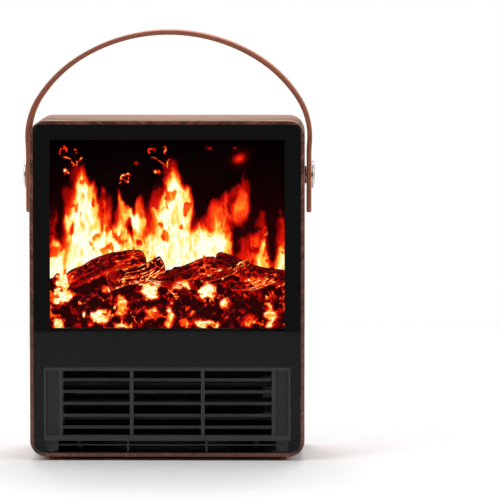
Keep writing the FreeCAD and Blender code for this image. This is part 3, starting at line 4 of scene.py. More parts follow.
import bmesh
import bpy
import numpy as np
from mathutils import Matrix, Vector


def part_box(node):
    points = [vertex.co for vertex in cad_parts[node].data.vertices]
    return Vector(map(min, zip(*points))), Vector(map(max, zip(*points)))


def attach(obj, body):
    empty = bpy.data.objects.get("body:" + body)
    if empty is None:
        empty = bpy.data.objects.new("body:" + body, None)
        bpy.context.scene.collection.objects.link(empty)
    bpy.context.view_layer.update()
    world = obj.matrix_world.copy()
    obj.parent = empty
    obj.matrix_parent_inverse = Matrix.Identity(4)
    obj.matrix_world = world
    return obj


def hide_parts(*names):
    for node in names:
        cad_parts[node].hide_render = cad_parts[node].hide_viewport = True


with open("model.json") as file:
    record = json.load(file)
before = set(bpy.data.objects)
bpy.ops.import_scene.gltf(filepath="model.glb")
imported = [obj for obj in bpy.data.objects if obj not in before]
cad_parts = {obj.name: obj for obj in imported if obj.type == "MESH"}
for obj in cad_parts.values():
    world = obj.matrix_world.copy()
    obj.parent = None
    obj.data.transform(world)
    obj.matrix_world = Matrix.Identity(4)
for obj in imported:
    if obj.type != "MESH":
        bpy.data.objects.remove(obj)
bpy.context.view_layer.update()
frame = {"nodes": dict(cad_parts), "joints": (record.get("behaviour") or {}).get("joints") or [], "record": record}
nodes = frame["nodes"]
print("frame loaded:", len(nodes), "nodes")

mm = 0.001  # sizes in the dictionaries below are in millimetres


# small helpers

def hexColour(text):
    # sRGB hex digits turned into the linear values that shaders take
    values = [int(text[k:k + 2], 16) / 255 for k in (0, 2, 4)]
    return tuple(v / 12.92 if v < 0.04045 else ((v + 0.055) / 1.055) ** 2.4 for v in values) + (1.0,)


def meshPiece(name, points, faces, smooth=True):
    # one object at the origin from an array of points and an array of quads or triangles
    mesh = bpy.data.meshes.new(name)
    points = np.asarray(points, dtype=np.float32).reshape(-1, 3)
    faces = np.asarray(faces, dtype=np.int32)
    corners = faces.shape[1]
    mesh.vertices.add(len(points))
    mesh.vertices.foreach_set("co", points.ravel())
    mesh.loops.add(faces.size)
    mesh.loops.foreach_set("vertex_index", faces.ravel())
    mesh.polygons.add(len(faces))
    mesh.polygons.foreach_set("loop_start", np.arange(0, faces.size, corners, dtype=np.int32))
    mesh.polygons.foreach_set("use_smooth", np.full(len(faces), smooth))
    mesh.update(calc_edges=True)
    mesh.validate()
    piece = bpy.data.objects.new(name, mesh)
    bpy.context.scene.collection.objects.link(piece)
    return piece


def gridFaces(rows, columns, closeRows=False, closeColumns=False, first=0, flip=False):
    # quads of a grid whose point (r, c) has index first + r * columns + c
    r = np.arange(rows if closeRows else rows - 1)
    c = np.arange(columns if closeColumns else columns - 1)
    r, c = np.meshgrid(r, c, indexing="ij")
    r2, c2 = (r + 1) % rows, (c + 1) % columns
    quads = np.stack([r * columns + c, r * columns + c2, r2 * columns + c2, r2 * columns + c], axis=-1)
    quads = quads.reshape(-1, 4) + first
    return quads[:, ::-1] if flip else quads


def paint(piece, name, values):
    # a colour attribute with one value or colour per point
    values = np.asarray(values, dtype=np.float32)
    if values.ndim == 1:
        values = np.repeat(values[:, None], 3, axis=1)
    values = np.hstack([values, np.ones((len(values), 1), dtype=np.float32)])
    layer = piece.data.color_attributes.new(name, "FLOAT_COLOR", "POINT")
    layer.data.foreach_set("color", values.ravel())


def smoothNoise(x, y, seed, size=64):
    # value noise: random heights on a lattice, blended with smooth steps between its points
    lattice = np.random.default_rng(seed).random((size, size))
    x0, y0 = np.floor(x).astype(int), np.floor(y).astype(int)
    fx, fy = x - x0, y - y0
    fx, fy = fx * fx * (3 - 2 * fx), fy * fy * (3 - 2 * fy)
    a, b = lattice[x0 % size, y0 % size], lattice[(x0 + 1) % size, y0 % size]
    c, d = lattice[x0 % size, (y0 + 1) % size], lattice[(x0 + 1) % size, (y0 + 1) % size]
    return (a * (1 - fx) + b * fx) * (1 - fy) + (c * (1 - fx) + d * fx) * fy


def fractalNoise(x, y, seed, octaves=4, gain=0.5):
    # value noise summed over octaves, each twice as fine and gain times as strong
    total, weight, share = 0.0, 0.0, 1.0
    for k in range(octaves):
        total = total + share * smoothNoise(x * 2 ** k, y * 2 ** k, seed + k)
        weight += share
        share *= gain
    return total / weight


def smoothNoise3(x, y, z, seed, size=32):
    # value noise in space: random values on a lattice, blended with smooth steps
    lattice = np.random.default_rng(seed).random((size, size, size))
    cell = [np.floor(v).astype(int) for v in (x, y, z)]
    part = [v - c for v, c in zip((x, y, z), cell)]
    part = [f * f * (3 - 2 * f) for f in part]
    total = 0.0
    for i in (0, 1):
        for j in (0, 1):
            for k in (0, 1):
                share = ((part[0] if i else 1 - part[0]) * (part[1] if j else 1 - part[1])
                         * (part[2] if k else 1 - part[2]))
                total = total + share * lattice[(cell[0] + i) % size, (cell[1] + j) % size,
                                                (cell[2] + k) % size]
    return total


def fractalNoise3(x, y, z, seed, octaves=3, gain=0.5):
    total, weight, share = 0.0, 0.0, 1.0
    for k in range(octaves):
        total = total + share * smoothNoise3(x * 2 ** k, y * 2 ** k, z * 2 ** k, seed + k)
        weight += share
        share *= gain
    return total / weight


def ease(value, low, high):
    # a smooth step from 0 at low to 1 at high
    t = np.clip((value - low) / (high - low), 0, 1)
    return t * t * (3 - 2 * t)


def weld(piece, gap=1e-6):
    # join the points that fall together, and turn every face outwards
    mesh = bmesh.new()
    mesh.from_mesh(piece.data)
    bmesh.ops.remove_doubles(mesh, verts=mesh.verts, dist=gap)
    bmesh.ops.dissolve_degenerate(mesh, edges=mesh.edges, dist=gap)
    bmesh.ops.recalc_face_normals(mesh, faces=mesh.faces)
    mesh.to_mesh(piece.data)
    mesh.free()


def newMaterial(name, **values):
    # a material with its Principled shader's sockets set by name
    material = bpy.data.materials.new(name)
    material.use_nodes = True
    shader = material.node_tree.nodes["Principled BSDF"]
    for key, value in values.items():
        shader.inputs[key.replace("_", " ")].default_value = value
    return material, material.node_tree, shader


def addNode(tree, kind, inputs=None, **settings):
    # a node with its settings, its inputs given as values or as other nodes' outputs
    node = tree.nodes.new(kind)
    for key, value in settings.items():
        setattr(node, key, value)
    for key, value in (inputs or {}).items():
        if isinstance(value, bpy.types.NodeSocket):
            tree.links.new(value, node.inputs[key])
        else:
            node.inputs[key].default_value = value
    return node


def maths(tree, operation, a, b=0.0, clamp=False):
    # one sum on two values or sockets
    node = addNode(tree, "ShaderNodeMath", {0: a, 1: b}, operation=operation, use_clamp=clamp)
    return node.outputs[0]


def times(tree, a, b, clamp=False):
    return maths(tree, "MULTIPLY", a, b, clamp)


def plus(tree, a, b):
    return maths(tree, "ADD", a, b)


def minus(tree, a, b):
    return maths(tree, "SUBTRACT", a, b)


def mixColours(tree, share, first, second):
    # two colours mixed, each a socket, a linear colour or hex digits
    node = addNode(tree, "ShaderNodeMix", data_type="RGBA")
    for socket, value in ((node.inputs[0], share), (node.inputs[6], first), (node.inputs[7], second)):
        if isinstance(value, bpy.types.NodeSocket):
            tree.links.new(value, socket)
        else:
            socket.default_value = hexColour(value) if isinstance(value, str) else value
    return node.outputs[2]


def ramp(tree, value, stops):
    # a colour ramp through (place, colour) stops, each colour in hex digits or linear values
    node = addNode(tree, "ShaderNodeValToRGB", {0: value})
    elements = node.color_ramp.elements
    elements.remove(elements[1])
    elements[0].position = stops[0][0]
    for place, _ in stops[1:]:
        elements.new(place)
    for element, (_, colour) in zip(elements, stops):
        element.color = hexColour(colour) if isinstance(colour, str) else (*colour, 1)
    return node.outputs[0]


def rangeMap(tree, value, low, high, outLow=0.0, outHigh=1.0):
    # the value's place from low to high, moved to outLow to outHigh and held there
    inputs = {0: value, 1: low, 2: high, 3: outLow, 4: outHigh}
    return addNode(tree, "ShaderNodeMapRange", inputs).outputs[0]


def objectPlace(tree):
    return addNode(tree, "ShaderNodeTexCoord").outputs["Object"]


def axes(tree, vector):
    # a vector's X, Y and Z
    return addNode(tree, "ShaderNodeSeparateXYZ", {0: vector}).outputs


def facingOf(tree):
    # the surface normal's X, Y and Z
    return axes(tree, addNode(tree, "ShaderNodeNewGeometry").outputs["Normal"])


def joined(tree, x, y):
    return addNode(tree, "ShaderNodeCombineXYZ", {0: x, 1: y}).outputs[0]


def layer(tree, name, output):
    # what a colour attribute of the piece holds
    return addNode(tree, "ShaderNodeAttribute", attribute_name=name).outputs[output]


def cells(tree, place, scale, randomness=1.0, **settings):
    # a cell pattern's distance
    inputs = {"Vector": place, "Scale": scale, "Randomness": randomness}
    return addNode(tree, "ShaderNodeTexVoronoi", inputs, **settings).outputs["Distance"]


def noiseAt(tree, place, scale, detail, roughness=0.5):
    return addNode(tree, "ShaderNodeTexNoise", {"Vector": place, "Scale": scale, "Detail": detail,
                                                "Roughness": roughness}).outputs[0]


def noiseAlong(tree, distance, detail, roughness=0.5, scale=5.0):
    # noise in one dimension
    return addNode(tree, "ShaderNodeTexNoise", {"W": distance, "Scale": scale, "Detail": detail,
                                                "Roughness": roughness}, noise_dimensions="1D").outputs[0]


def noise(tree, place, scale, detail=3.0, roughness=0.5, stretch=(1, 1, 1)):
    # noise on a place stretched by a factor along each axis
    mapping = addNode(tree, "ShaderNodeMapping", {"Vector": place, "Scale": stretch})
    return noiseAt(tree, mapping.outputs[0], scale, detail, roughness)


def bump(tree, shader, height, strength, distance):
    node = addNode(tree, "ShaderNodeBump", {"Height": height, "Strength": strength,
                                            "Distance": distance})
    tree.links.new(node.outputs[0], shader.inputs["Normal"])


def joinTo(tree, shader, **sockets):
    # wire outputs into the shader's sockets by name
    for key, value in sockets.items():
        tree.links.new(value, shader.inputs[key.replace("_", " ")])


def newGroup(name, inputs, outputs):
    # a shader node group with named float, colour or vector sockets
    group = bpy.data.node_groups.new(name, "ShaderNodeTree")
    kinds = {"value": "NodeSocketFloat", "colour": "NodeSocketColor", "vector": "NodeSocketVector"}
    for label, kind, default in inputs:
        socket = group.interface.new_socket(label, in_out="INPUT", socket_type=kinds[kind])
        if default is not None:
            socket.default_value = default
    for label, kind in outputs:
        group.interface.new_socket(label, in_out="OUTPUT", socket_type=kinds[kind])
    entry = group.nodes.new("NodeGroupInput")
    leave = group.nodes.new("NodeGroupOutput")
    return group, entry.outputs, leave.inputs


def useGroup(tree, group, **values):
    # one placing of a shared group, with its own values
    node = tree.nodes.new("ShaderNodeGroup")
    node.node_tree = group
    for key, value in values.items():
        socket = node.inputs[key.replace("_", " ")]
        if isinstance(value, bpy.types.NodeSocket):
            tree.links.new(value, socket)
        else:
            socket.default_value = value
    return node.outputs


camera = {"place": (0.118, -3.765, 0.460), "aim": (0.0738, -0.066, 0.1885), "lens": 300.5}


def makeCamera():
    data = bpy.data.cameras.new("camera")
    data.lens = camera["lens"]
    data.sensor_width = 36.0
    data.clip_end = 50
    eye = bpy.data.objects.new("camera", data)
    eye.location = camera["place"]
    eye.rotation_euler = (Vector(camera["aim"]) - eye.location).to_track_quat("-Z", "Y").to_euler()
    bpy.context.scene.collection.objects.link(eye)
    bpy.context.scene.camera = eye


studio = {
    "floorHalf": 1.3,
    "lights": [  # name, place, aim, size, watts
        ("keyPanel", (-1.3, -1.1, 1.7), (0, 0, 0.18), (1.2, 1.2), 22),
        ("fillPanel", (1.6, -0.9, 1.2), (0, 0, 0.18), (1.2, 1.2), 15),
        ("topPanel", (0.0, 0.5, 1.9), (0, 0, 0.2), (1.4, 1.0), 12),
        ("backPanel", (0.0, 1.3, 1.9), (0, 0, 0.2), (1.2, 0.8), 22),
    ],
    "background": (1.0, 1.0, 1.0, 1),
}


def makeStudio():
    half = studio["floorHalf"]
    corners = np.array([(-half, -half, 0), (half, -half, 0), (half, half, 0), (-half, half, 0)])
    floor = meshPiece("floor", corners, [[0, 1, 2, 3]], smooth=False)
    material, tree, shader = newMaterial("palePaper", Roughness=0.75)
    place = objectPlace(tree)
    speckle = noise(tree, place, 30, 2)
    paper = ramp(tree, speckle, [(0, (0.73, 0.73, 0.73)), (1, (0.77, 0.77, 0.77))])
    joinTo(tree, shader, Base_Color=paper)
    floor.data.materials.append(material)
    for name, place, aim, size, watts in studio["lights"]:
        data = bpy.data.lights.new(name, "AREA")
        data.shape = "RECTANGLE"
        data.size, data.size_y = size
        data.energy = watts
        lamp = bpy.data.objects.new(name, data)
        lamp.location = place
        lamp.rotation_euler = (Vector(aim) - lamp.location).to_track_quat("-Z", "Y").to_euler()
        bpy.context.scene.collection.objects.link(lamp)
    world = bpy.data.worlds.new("studio")
    world.use_nodes = True
    tree = world.node_tree
    tree.nodes.clear()
    # the room is pale all round but for a dark screen in front, which the pane reflects
    direction = addNode(tree, "ShaderNodeTexCoord").outputs["Generated"]
    towards = axes(tree, direction)["Y"]
    shade = ramp(tree, rangeMap(tree, towards, -1.0, 1.0),
                 [(0.0, (0.0, 0.0, 0.0)), (0.1, (0.02, 0.02, 0.02)), (0.3, (0.75, 0.75, 0.75)),
                  (0.7, (0.72, 0.72, 0.73)), (1.0, (0.50, 0.50, 0.53))])
    room = addNode(tree, "ShaderNodeBackground", {"Color": shade, "Strength": 0.9})
    seen = addNode(tree, "ShaderNodeBackground", {"Color": studio["background"], "Strength": 1.0})
    looked = addNode(tree, "ShaderNodeLightPath").outputs["Is Camera Ray"]
    mixed = addNode(tree, "ShaderNodeMixShader", {0: looked, 1: room.outputs[0], 2: seen.outputs[0]})
    addNode(tree, "ShaderNodeOutputWorld", {0: mixed.outputs[0]})
    bpy.context.scene.world = world
    bpy.context.scene.view_settings.view_transform = "Standard"


makeCamera()
makeStudio()
print("camera, floor and lights made")


def makeMouldedGroup():
    # moulded plastic: a fine spark-eroded grain with a slow change in gloss
    group, entry, leave = newGroup(
        "mouldedGrain",
        [("Place", "vector", None), ("Grain", "value", 1800.0),
         ("Gloss", "value", 0.4), ("Spread", "value", 0.1)],
        [("Height", "value"), ("Roughness", "value"), ("Tint", "value")])
    fine = noiseAt(group, entry["Place"], entry["Grain"], 2.0)
    slow = noiseAt(group, entry["Place"], 35.0, 3.0)
    swing = times(group, minus(group, slow, 0.5), entry["Spread"])
    group.links.new(fine, leave["Height"])
    group.links.new(plus(group, entry["Gloss"], swing), leave["Roughness"])
    group.links.new(slow, leave["Tint"])
    return group


def makeBrushedGroup():
    # drawn or brushed metal: noise stretched along one axis, seen in height, gloss and tone
    group, entry, leave = newGroup(
        "brushedLines",
        [("Place", "vector", None), ("Stretch", "vector", (1.0, 30.0, 30.0)),
         ("Gloss", "value", 0.3), ("Spread", "value", 0.2)],
        [("Height", "value"), ("Roughness", "value"), ("Tint", "value")])
    mapping = addNode(group, "ShaderNodeMapping", {"Vector": entry["Place"], "Scale": entry["Stretch"]})
    lines = noiseAt(group, mapping.outputs[0], 60.0, 5.0, 0.65)
    swing = times(group, minus(group, lines, 0.5), entry["Spread"])
    group.links.new(lines, leave["Height"])
    group.links.new(plus(group, entry["Gloss"], swing), leave["Roughness"])
    group.links.new(lines, leave["Tint"])
    return group


def makeDustGroup():
    # thin dust that gathers on faces that look up, broken by noise
    group, entry, leave = newGroup("settledDust", [("Place", "vector", None), ("Amount", "value", 0.2)],
                                   [("Mask", "value")])
    patches = noiseAt(group, entry["Place"], 90.0, 4.0)
    facing = rangeMap(group, facingOf(group)["Z"], 0.3, 1.0)
    mask = times(group, times(group, facing, patches), entry["Amount"], True)
    group.links.new(mask, leave["Mask"])
    return group


mouldedGrain = makeMouldedGroup()
brushedLines = makeBrushedGroup()
settledDust = makeDustGroup()


def plasticFinish(name, colour, gloss=0.4, spread=0.1, grain=1800.0, depth=0.15, dust=0.1):
    material, tree, shader = newMaterial(name)
    place = objectPlace(tree)
    moulded = useGroup(tree, mouldedGrain, Place=place, Grain=grain, Gloss=gloss, Spread=spread)
    dusty = useGroup(tree, settledDust, Place=place, Amount=dust)
    base = hexColour(colour)
    lighter = tuple(min(1.0, v * 1.25 + 0.004) for v in base[:3]) + (1,)
    toned = mixColours(tree, moulded["Tint"], base, lighter)
    dusted = mixColours(tree, dusty["Mask"], toned, "8C8881")
    joinTo(tree, shader, Base_Color=dusted, Roughness=moulded["Roughness"])
    bump(tree, shader, moulded["Height"], depth, 0.0001)
    return material


def metalFinish(name, colour, gloss=0.3, spread=0.25, stretch=(1, 30, 30), depth=0.1):
    material, tree, shader = newMaterial(name, Metallic=1.0)
    place = objectPlace(tree)
    brushed = useGroup(tree, brushedLines, Place=place, Stretch=stretch, Gloss=gloss, Spread=spread)
    base = hexColour(colour)
    darker = tuple(v * 0.72 for v in base[:3]) + (1,)
    joinTo(tree, shader, Base_Color=mixColours(tree, brushed["Tint"], darker, base),
           Roughness=brushed["Roughness"])
    bump(tree, shader, brushed["Height"], depth, 0.00005)
    return material


shellLow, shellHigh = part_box("wood_shell")


# the wood-look wrap: its grain runs up the sides and on across the top without a break

woodWrap = {
    "light": "B97824", "tan": "AA6618", "middle": "9C5710", "dark": "663108", "streak": "472007",
    "lipLight": "8A5240", "lipMiddle": "5E3226", "lipDark": "2A1510", "inner": "0C0A09",
    "heartBack": 0.030, "heartHeight": 0.185, "heartFlatness": 0.13,
    "drift": 0.085, "ripple": 0.0045, "ringScale": 150.0, "gloss": 0.30, "boardThick": 0.0034,
    "ringShare": 0.60, "streakShare": 0.40, "cloudShare": 0.34,
    "bandStrength": 0.75, "dashStrength": 0.5,
}


def makeWoodMaterial():
    w = woodWrap
    material, tree, shader = newMaterial("woodWrap", Coat_Weight=0.16, Coat_Roughness=0.16)
    place = axes(tree, objectPlace(tree))
    # along the grain: height less distance from the middle, which carries on round the corners
    aside = maths(tree, "ABSOLUTE", place["X"])
    along, across = minus(tree, place["Z"], aside), place["Y"]
    sheet = joined(tree, across, along)
    drift = minus(tree, noise(tree, sheet, 9, 2, 0.5, (1.6, 0.55, 1)), 0.5)
    ripple = minus(tree, noise(tree, sheet, 60, 3, 0.55, (1.4, 0.3, 1)), 0.5)
    bend = plus(tree, times(tree, drift, w["drift"]), times(tree, ripple, w["ripple"]))
    # ring field: distance from a heart line that is flattened along the grain
    side = plus(tree, minus(tree, across, w["heartBack"]), bend)
    rise = times(tree, minus(tree, along, w["heartHeight"] - shellHigh.x), w["heartFlatness"])
    field = maths(tree, "SQRT", plus(tree, times(tree, side, side), times(tree, rise, rise)))
    rings = noiseAlong(tree, times(tree, field, w["ringScale"]), 5.0, 0.62, 1.0)
    streaks = noise(tree, sheet, 260, 4, 0.6, (3.2, 0.10, 1))
    pores = noise(tree, sheet, 900, 2, 0.5, (2.4, 0.07, 1))
    clouds = noise(tree, sheet, 14, 3, 0.5, (1.5, 0.5, 1))
    tone = plus(tree, times(tree, rings, w["ringShare"]), times(tree, streaks, w["streakShare"]))
    tone = plus(tree, tone, times(tree, minus(tree, clouds, 0.5), w["cloudShare"]))
    body = ramp(tree, tone, [(0.26, w["dark"]), (0.44, w["middle"]),
                             (0.60, w["tan"]), (0.80, w["light"])])
    # darker streaks gather towards the front edge
    front = rangeMap(tree, across, -0.018, -0.062)
    gathered = rangeMap(tree, noise(tree, sheet, 55, 3, 0.6, (1.8, 0.12, 1)), 0.38, 0.62)
    band = times(tree, front, gathered, True)
    body = mixColours(tree, times(tree, band, w["bandStrength"]), body, w["streak"])
    dashes = rangeMap(tree, pores, 0.36, 0.30)
    body = mixColours(tree, times(tree, dashes, w["dashStrength"]), body, w["streak"])
    # faces that look to the front are coloured a darker, redder tone with a burl-like noise
    burl = noise(tree, joined(tree, along, across), 170, 5, 0.7, (1, 0.4, 1))
    lip = ramp(tree, burl, [(0.34, w["lipDark"]), (0.52, w["lipMiddle"]), (0.68, w["lipLight"])])
    colour = mixColours(tree, rangeMap(tree, facingOf(tree)["Y"], -0.35, -0.75), body, lip)
    # the faces inside the sleeve are coloured near black
    middle, halfHeight = (shellHigh.z + shellLow.z) / 2, (shellHigh.z - shellLow.z) / 2
    fromMiddle = maths(tree, "ABSOLUTE", minus(tree, place["Z"], middle))
    inX = maths(tree, "LESS_THAN", aside, shellHigh.x - w["boardThick"])
    inZ = maths(tree, "LESS_THAN", fromMiddle, halfHeight - w["boardThick"])
    colour = mixColours(tree, times(tree, inX, inZ), colour, w["inner"])
    roughness = rangeMap(tree, streaks, 0.3, 0.7, w["gloss"] - 0.05, w["gloss"] + 0.12)
    joinTo(tree, shader, Base_Color=colour, Roughness=roughness)
    bump(tree, shader, minus(tree, streaks, times(tree, dashes, 0.6)), 0.12, 0.00015)
    return material


# leather: a dyed face, a fine pebbled grain, and edges painted darker

leather = {"face": "BF611C", "light": "CF7430", "dark": "9C4A12", "edge": "8F523C", "grain": 1500.0,
           # reach in from the cut edge of the paint and of the darker face, in metres, and how far
           # the paint's line wanders
           "paint": (0.0011, 0.0002), "shade": (0.0035, 0.0008), "wander": 0.0006}


def makeLeatherMaterial():
    v = leather
    material, tree, shader = newMaterial("leather", Coat_Weight=0.18, Coat_Roughness=0.3)
    parts = axes(tree, layer(tree, "flatPlace", "Vector"))
    flat = joined(tree, parts[0], parts[1])
    mottle = noise(tree, flat, 28, 5, 0.6)
    hide = ramp(tree, mottle, [(0.25, v["dark"]), (0.5, v["face"]),
                               (0.8, v["light"])])
    pebble = rangeMap(tree, cells(tree, flat, v["grain"], feature="DISTANCE_TO_EDGE"), 0.0, 0.35)
    hide = mixColours(tree, rangeMap(tree, pebble, 0.5, 0.0, 0.0, 0.25), hide, v["dark"])
    # the edge channel holds the distance in from the cut edge, in metres
    edge = plus(tree, parts[2], times(tree, minus(tree, mottle, 0.5), v["wander"]))
    painted = rangeMap(tree, edge, *v["paint"])
    shadeNearEdge = rangeMap(tree, parts[2], *v["shade"], 0.0, 0.35)
    colour = mixColours(tree, shadeNearEdge, hide, v["dark"])
    colour = mixColours(tree, painted, colour, v["edge"])
    joinTo(tree, shader, Base_Color=colour, Roughness=rangeMap(tree, mottle, 0.2, 0.8, 0.38, 0.55))
    bump(tree, shader, pebble, 0.22, 0.00012)
    return material


def makePaneMaterial():
    # toughened clear pane: almost no tint, faint wipe marks in its gloss
    material, tree, shader = newMaterial("clearPane", Transmission_Weight=1.0, IOR=1.22)
    place = objectPlace(tree)
    joinTo(tree, shader, Base_Color=ramp(tree, noise(tree, place, 8, 2), [(0, (0.95, 0.96, 0.96)),
                                                                         (1, (1, 1, 1))]),
           Roughness=rangeMap(tree, noise(tree, place, 30, 4, 0.6, (1, 1, 0.3)), 0.55, 0.8, 0.0, 0.03))
    return material


def makePrintMaterial():
    # screen-printed black ink, not quite even; its faint glow stands in for the light that the
    # pane in front of it would pass on
    material, tree, shader = newMaterial("blackPrint", Roughness=0.35, Emission_Strength=1.0,
                                         Emission_Color=(0.0062, 0.0062, 0.0064, 1))
    place = objectPlace(tree)
    joinTo(tree, shader, Base_Color=ramp(tree, noise(tree, place, 20, 2),
                                         [(0, "101011"), (1, "131314")]))
    return material


def glowRamp(tree, value):
    # black-body-like colours from dark red through orange and yellow to a pale core
    return ramp(tree, value, [(0.0, "010000"), (0.14, "2A0001"),
                              (0.30, "A80502"), (0.43, "E41505"),
                              (0.56, "FA4F10"), (0.68, "FE9A26"),
                              (0.80, "FFD45A"), (0.91, "FFF09C"),
                              (1.0, "FFFFE4")])


def makeFilmMaterial():
    # printed translucent film lit from behind: its glow map sets the glow
    material, tree, shader = newMaterial("flameFilm", Roughness=0.7, Specular_IOR_Level=0.03,
                                         Emission_Strength=1.12)
    heat = layer(tree, "glowMap", "Fac")
    grain = noise(tree, objectPlace(tree), 700, 2, 0.5, (1, 1, 0.5))
    textured = times(tree, heat, rangeMap(tree, grain, 0.2, 0.8, 0.93, 1.07))
    joinTo(tree, shader, Emission_Color=glowRamp(tree, textured),
           Base_Color=ramp(tree, heat, [(0, (0.002, 0.001, 0.001)), (1, (0.03, 0.012, 0.006))]))
    return material


def makeEmberMaterial():
    # burnt timber and coals: charred maroon skin with glowing cracks and hollows
    material, tree, shader = newMaterial("ember", Specular_IOR_Level=0.12, Emission_Strength=1.1)
    place = objectPlace(tree)
    heat = layer(tree, "glowMap", "Fac")
    ash = noise(tree, place, 160, 5, 0.65)
    skin = ramp(tree, ash, [(0.3, "040202"), (0.55, "120504"), (0.8, "2A0D0B")])
    crackle = cells(tree, place, 150.0, feature="DISTANCE_TO_EDGE")
    veins = rangeMap(tree, crackle, 0.10, 0.0, 0.0, 0.5)
    hot = plus(tree, heat, times(tree, veins, times(tree, heat, 0.8)))
    hot = times(tree, hot, rangeMap(tree, ash, 0.25, 0.75, 0.78, 1.2))
    joinTo(tree, shader, Base_Color=skin, Emission_Color=glowRamp(tree, hot),
           Roughness=rangeMap(tree, ash, 0.3, 0.8, 0.65, 0.95))
    bump(tree, shader, ash, 0.5, 0.0006)
    return material


def makeBoardMaterial():
    # circuit board: green mask over a maze of copper tracks
    material, tree, shader = newMaterial("circuitBoard", Roughness=0.35)
    place = objectPlace(tree)
    tracks = cells(tree, place, 260.0, 0.55, feature="F1", distance="CHEBYCHEV")
    mask = rangeMap(tree, tracks, 0.40, 0.46)
    joinTo(tree, shader, Base_Color=mixColours(tree, mask, "0E4A2A", "1C6E40"))
    bump(tree, shader, mask, 0.2, 0.00005)
    return material


def makeWindingMaterial():
    # enamelled copper wire, wound in close turns along the coil; its colour is darker in the grooves between the
    # turns, which is painted shade
    material, tree, shader = newMaterial("copperWinding", Metallic=1.0)
    height = axes(tree, objectPlace(tree))["Z"]
    turns = maths(tree, "ABSOLUTE", maths(tree, "SINE", times(tree, height, 7800.0)))
    joinTo(tree, shader, Base_Color=mixColours(tree, turns, "6A2A12", "C8743A"),
           Roughness=rangeMap(tree, turns, 0.0, 1.0, 0.5, 0.28))
    bump(tree, shader, turns, 0.6, 0.0002)
    return material


def makeLampMaterial():
    # a lit amber lamp chip, its glow uneven over its face
    material, tree, shader = newMaterial("lampAmber", Roughness=0.3, Emission_Strength=2.0)
    spot = noise(tree, objectPlace(tree), 400, 2)
    joinTo(tree, shader, Base_Color=ramp(tree, spot, [(0, "D98A2A"), (1, "F2B45A")]),
           Emission_Color=ramp(tree, spot, [(0.3, "E8761C"), (0.7, "FFC878")]))
    return material


def makeGlueBlockMaterial():
    # plain softwood blocks, sawn along their depth
    material, tree, shader = newMaterial("sawnBlock", Roughness=0.75)
    place = objectPlace(tree)
    grain = noise(tree, place, 300, 5, 0.6, (1, 0.08, 1))
    joinTo(tree, shader, Base_Color=ramp(tree, grain, [(0.3, "A98356"), (0.7, "CDAE7E")]))
    bump(tree, shader, grain, 0.3, 0.0003)
    return material


finishes = {
    "wood_wrap": makeWoodMaterial(),
    "glue_block": makeGlueBlockMaterial(),
    "foot_rubber": plasticFinish("footRubber", "6A3714", 0.6, 0.15, 1400, 0.3, 0.15),
    "zinc_screw": metalFinish("zincScrew", "B9BABC", 0.35, 0.2, (20, 20, 2)),
    "black_screw": plasticFinish("blackScrew", "121213", 0.3, 0.15, 900, 0.1, 0.05),
    "clear_pane": makePaneMaterial(),
    "black_print": makePrintMaterial(),
    "black_moulding": plasticFinish("blackMoulding", "101012", 0.45, 0.12, 1700, 0.12, 0.05),
    "grille_moulding": plasticFinish("grilleMoulding", "222327", 0.42, 0.12, 1900, 0.2, 0.10),
    "leather": makeLeatherMaterial(),
    "satin_nickel": metalFinish("satinNickel", "DAD9D6", 0.27, 0.12, (4, 30, 30)),
    "clear_nylon": plasticFinish("clearNylon", "CFCCBE", 0.4, 0.1, 800, 0.08, 0.0),
    "white_sheet": plasticFinish("whiteSheet", "8A8A86", 0.45, 0.15, 500, 0.08, 0.1),
    "flame_film": makeFilmMaterial(),
    "ember_moulding": makeEmberMaterial(),
    "board_green": makeBoardMaterial(),
    "lamp_amber": makeLampMaterial(),
    "bright_foil": metalFinish("brightFoil", "E0E0E0", 0.12, 0.2, (8, 8, 8)),
    "bronze_bush": metalFinish("bronzeBush", "A8793E", 0.4, 0.2, (30, 4, 4)),
    "motor_case": plasticFinish("motorCase", "5C5E60", 0.4, 0.2, 600, 0.15, 0.1),
    "galvanised_sheet": metalFinish("galvanisedSheet", "4C4F52", 0.5, 0.3, (3, 3, 3), 0.2),
    # the plain aluminium is coloured dark grey: painted shade for its place behind the louvres
    "aluminium_plain": metalFinish("aluminiumDarkAsShade", "3C3D42", 0.5, 0.25, (30, 2, 30)),
    "heatproof_moulding": plasticFinish("heatproofMoulding", "8F8570", 0.6, 0.1, 900, 0.3, 0.1),
    "switch_moulding": plasticFinish("switchMoulding", "0C0C0D", 0.22, 0.08, 1500, 0.08, 0.06),
    "steel_plain": metalFinish("steelPlain", "8E9092", 0.35, 0.25, (2, 30, 30)),
    "copper_winding": makeWindingMaterial(),
    "component_black": plasticFinish("componentBlack", "141416", 0.4, 0.15, 1000, 0.2, 0.1),
}
slotOf = {row["node"]: row["material_slot"] for row in frame["record"]["subparts"]}


def finishNodes():
    for name, node in nodes.items():
        node.data.materials.clear()
        node.data.materials.append(finishes[slotOf[name]])


finishNodes()
print("finishes made:", len(finishes))


# the carry strap: a flat band with a slit in each tab, carried along arcs over the heater

strap = {
    "width": 33.0, "thick": 4.4, "washer": 1.6, "pivotHeight": 252.0, "tabDrop": 33.5, "tabCorner": 5.0,
    "leanStart": 18.0, "lean": 4.1, "straight": 2.0, "footRadius": 140.0,
    "shoulder": 33.0, "upperRadius": 118.0, "upper": 25.0,
    "slitHalf": 2.1, "slitRise": 25.5, "edgeRound": 1.35, "slitRound": 0.5,
}


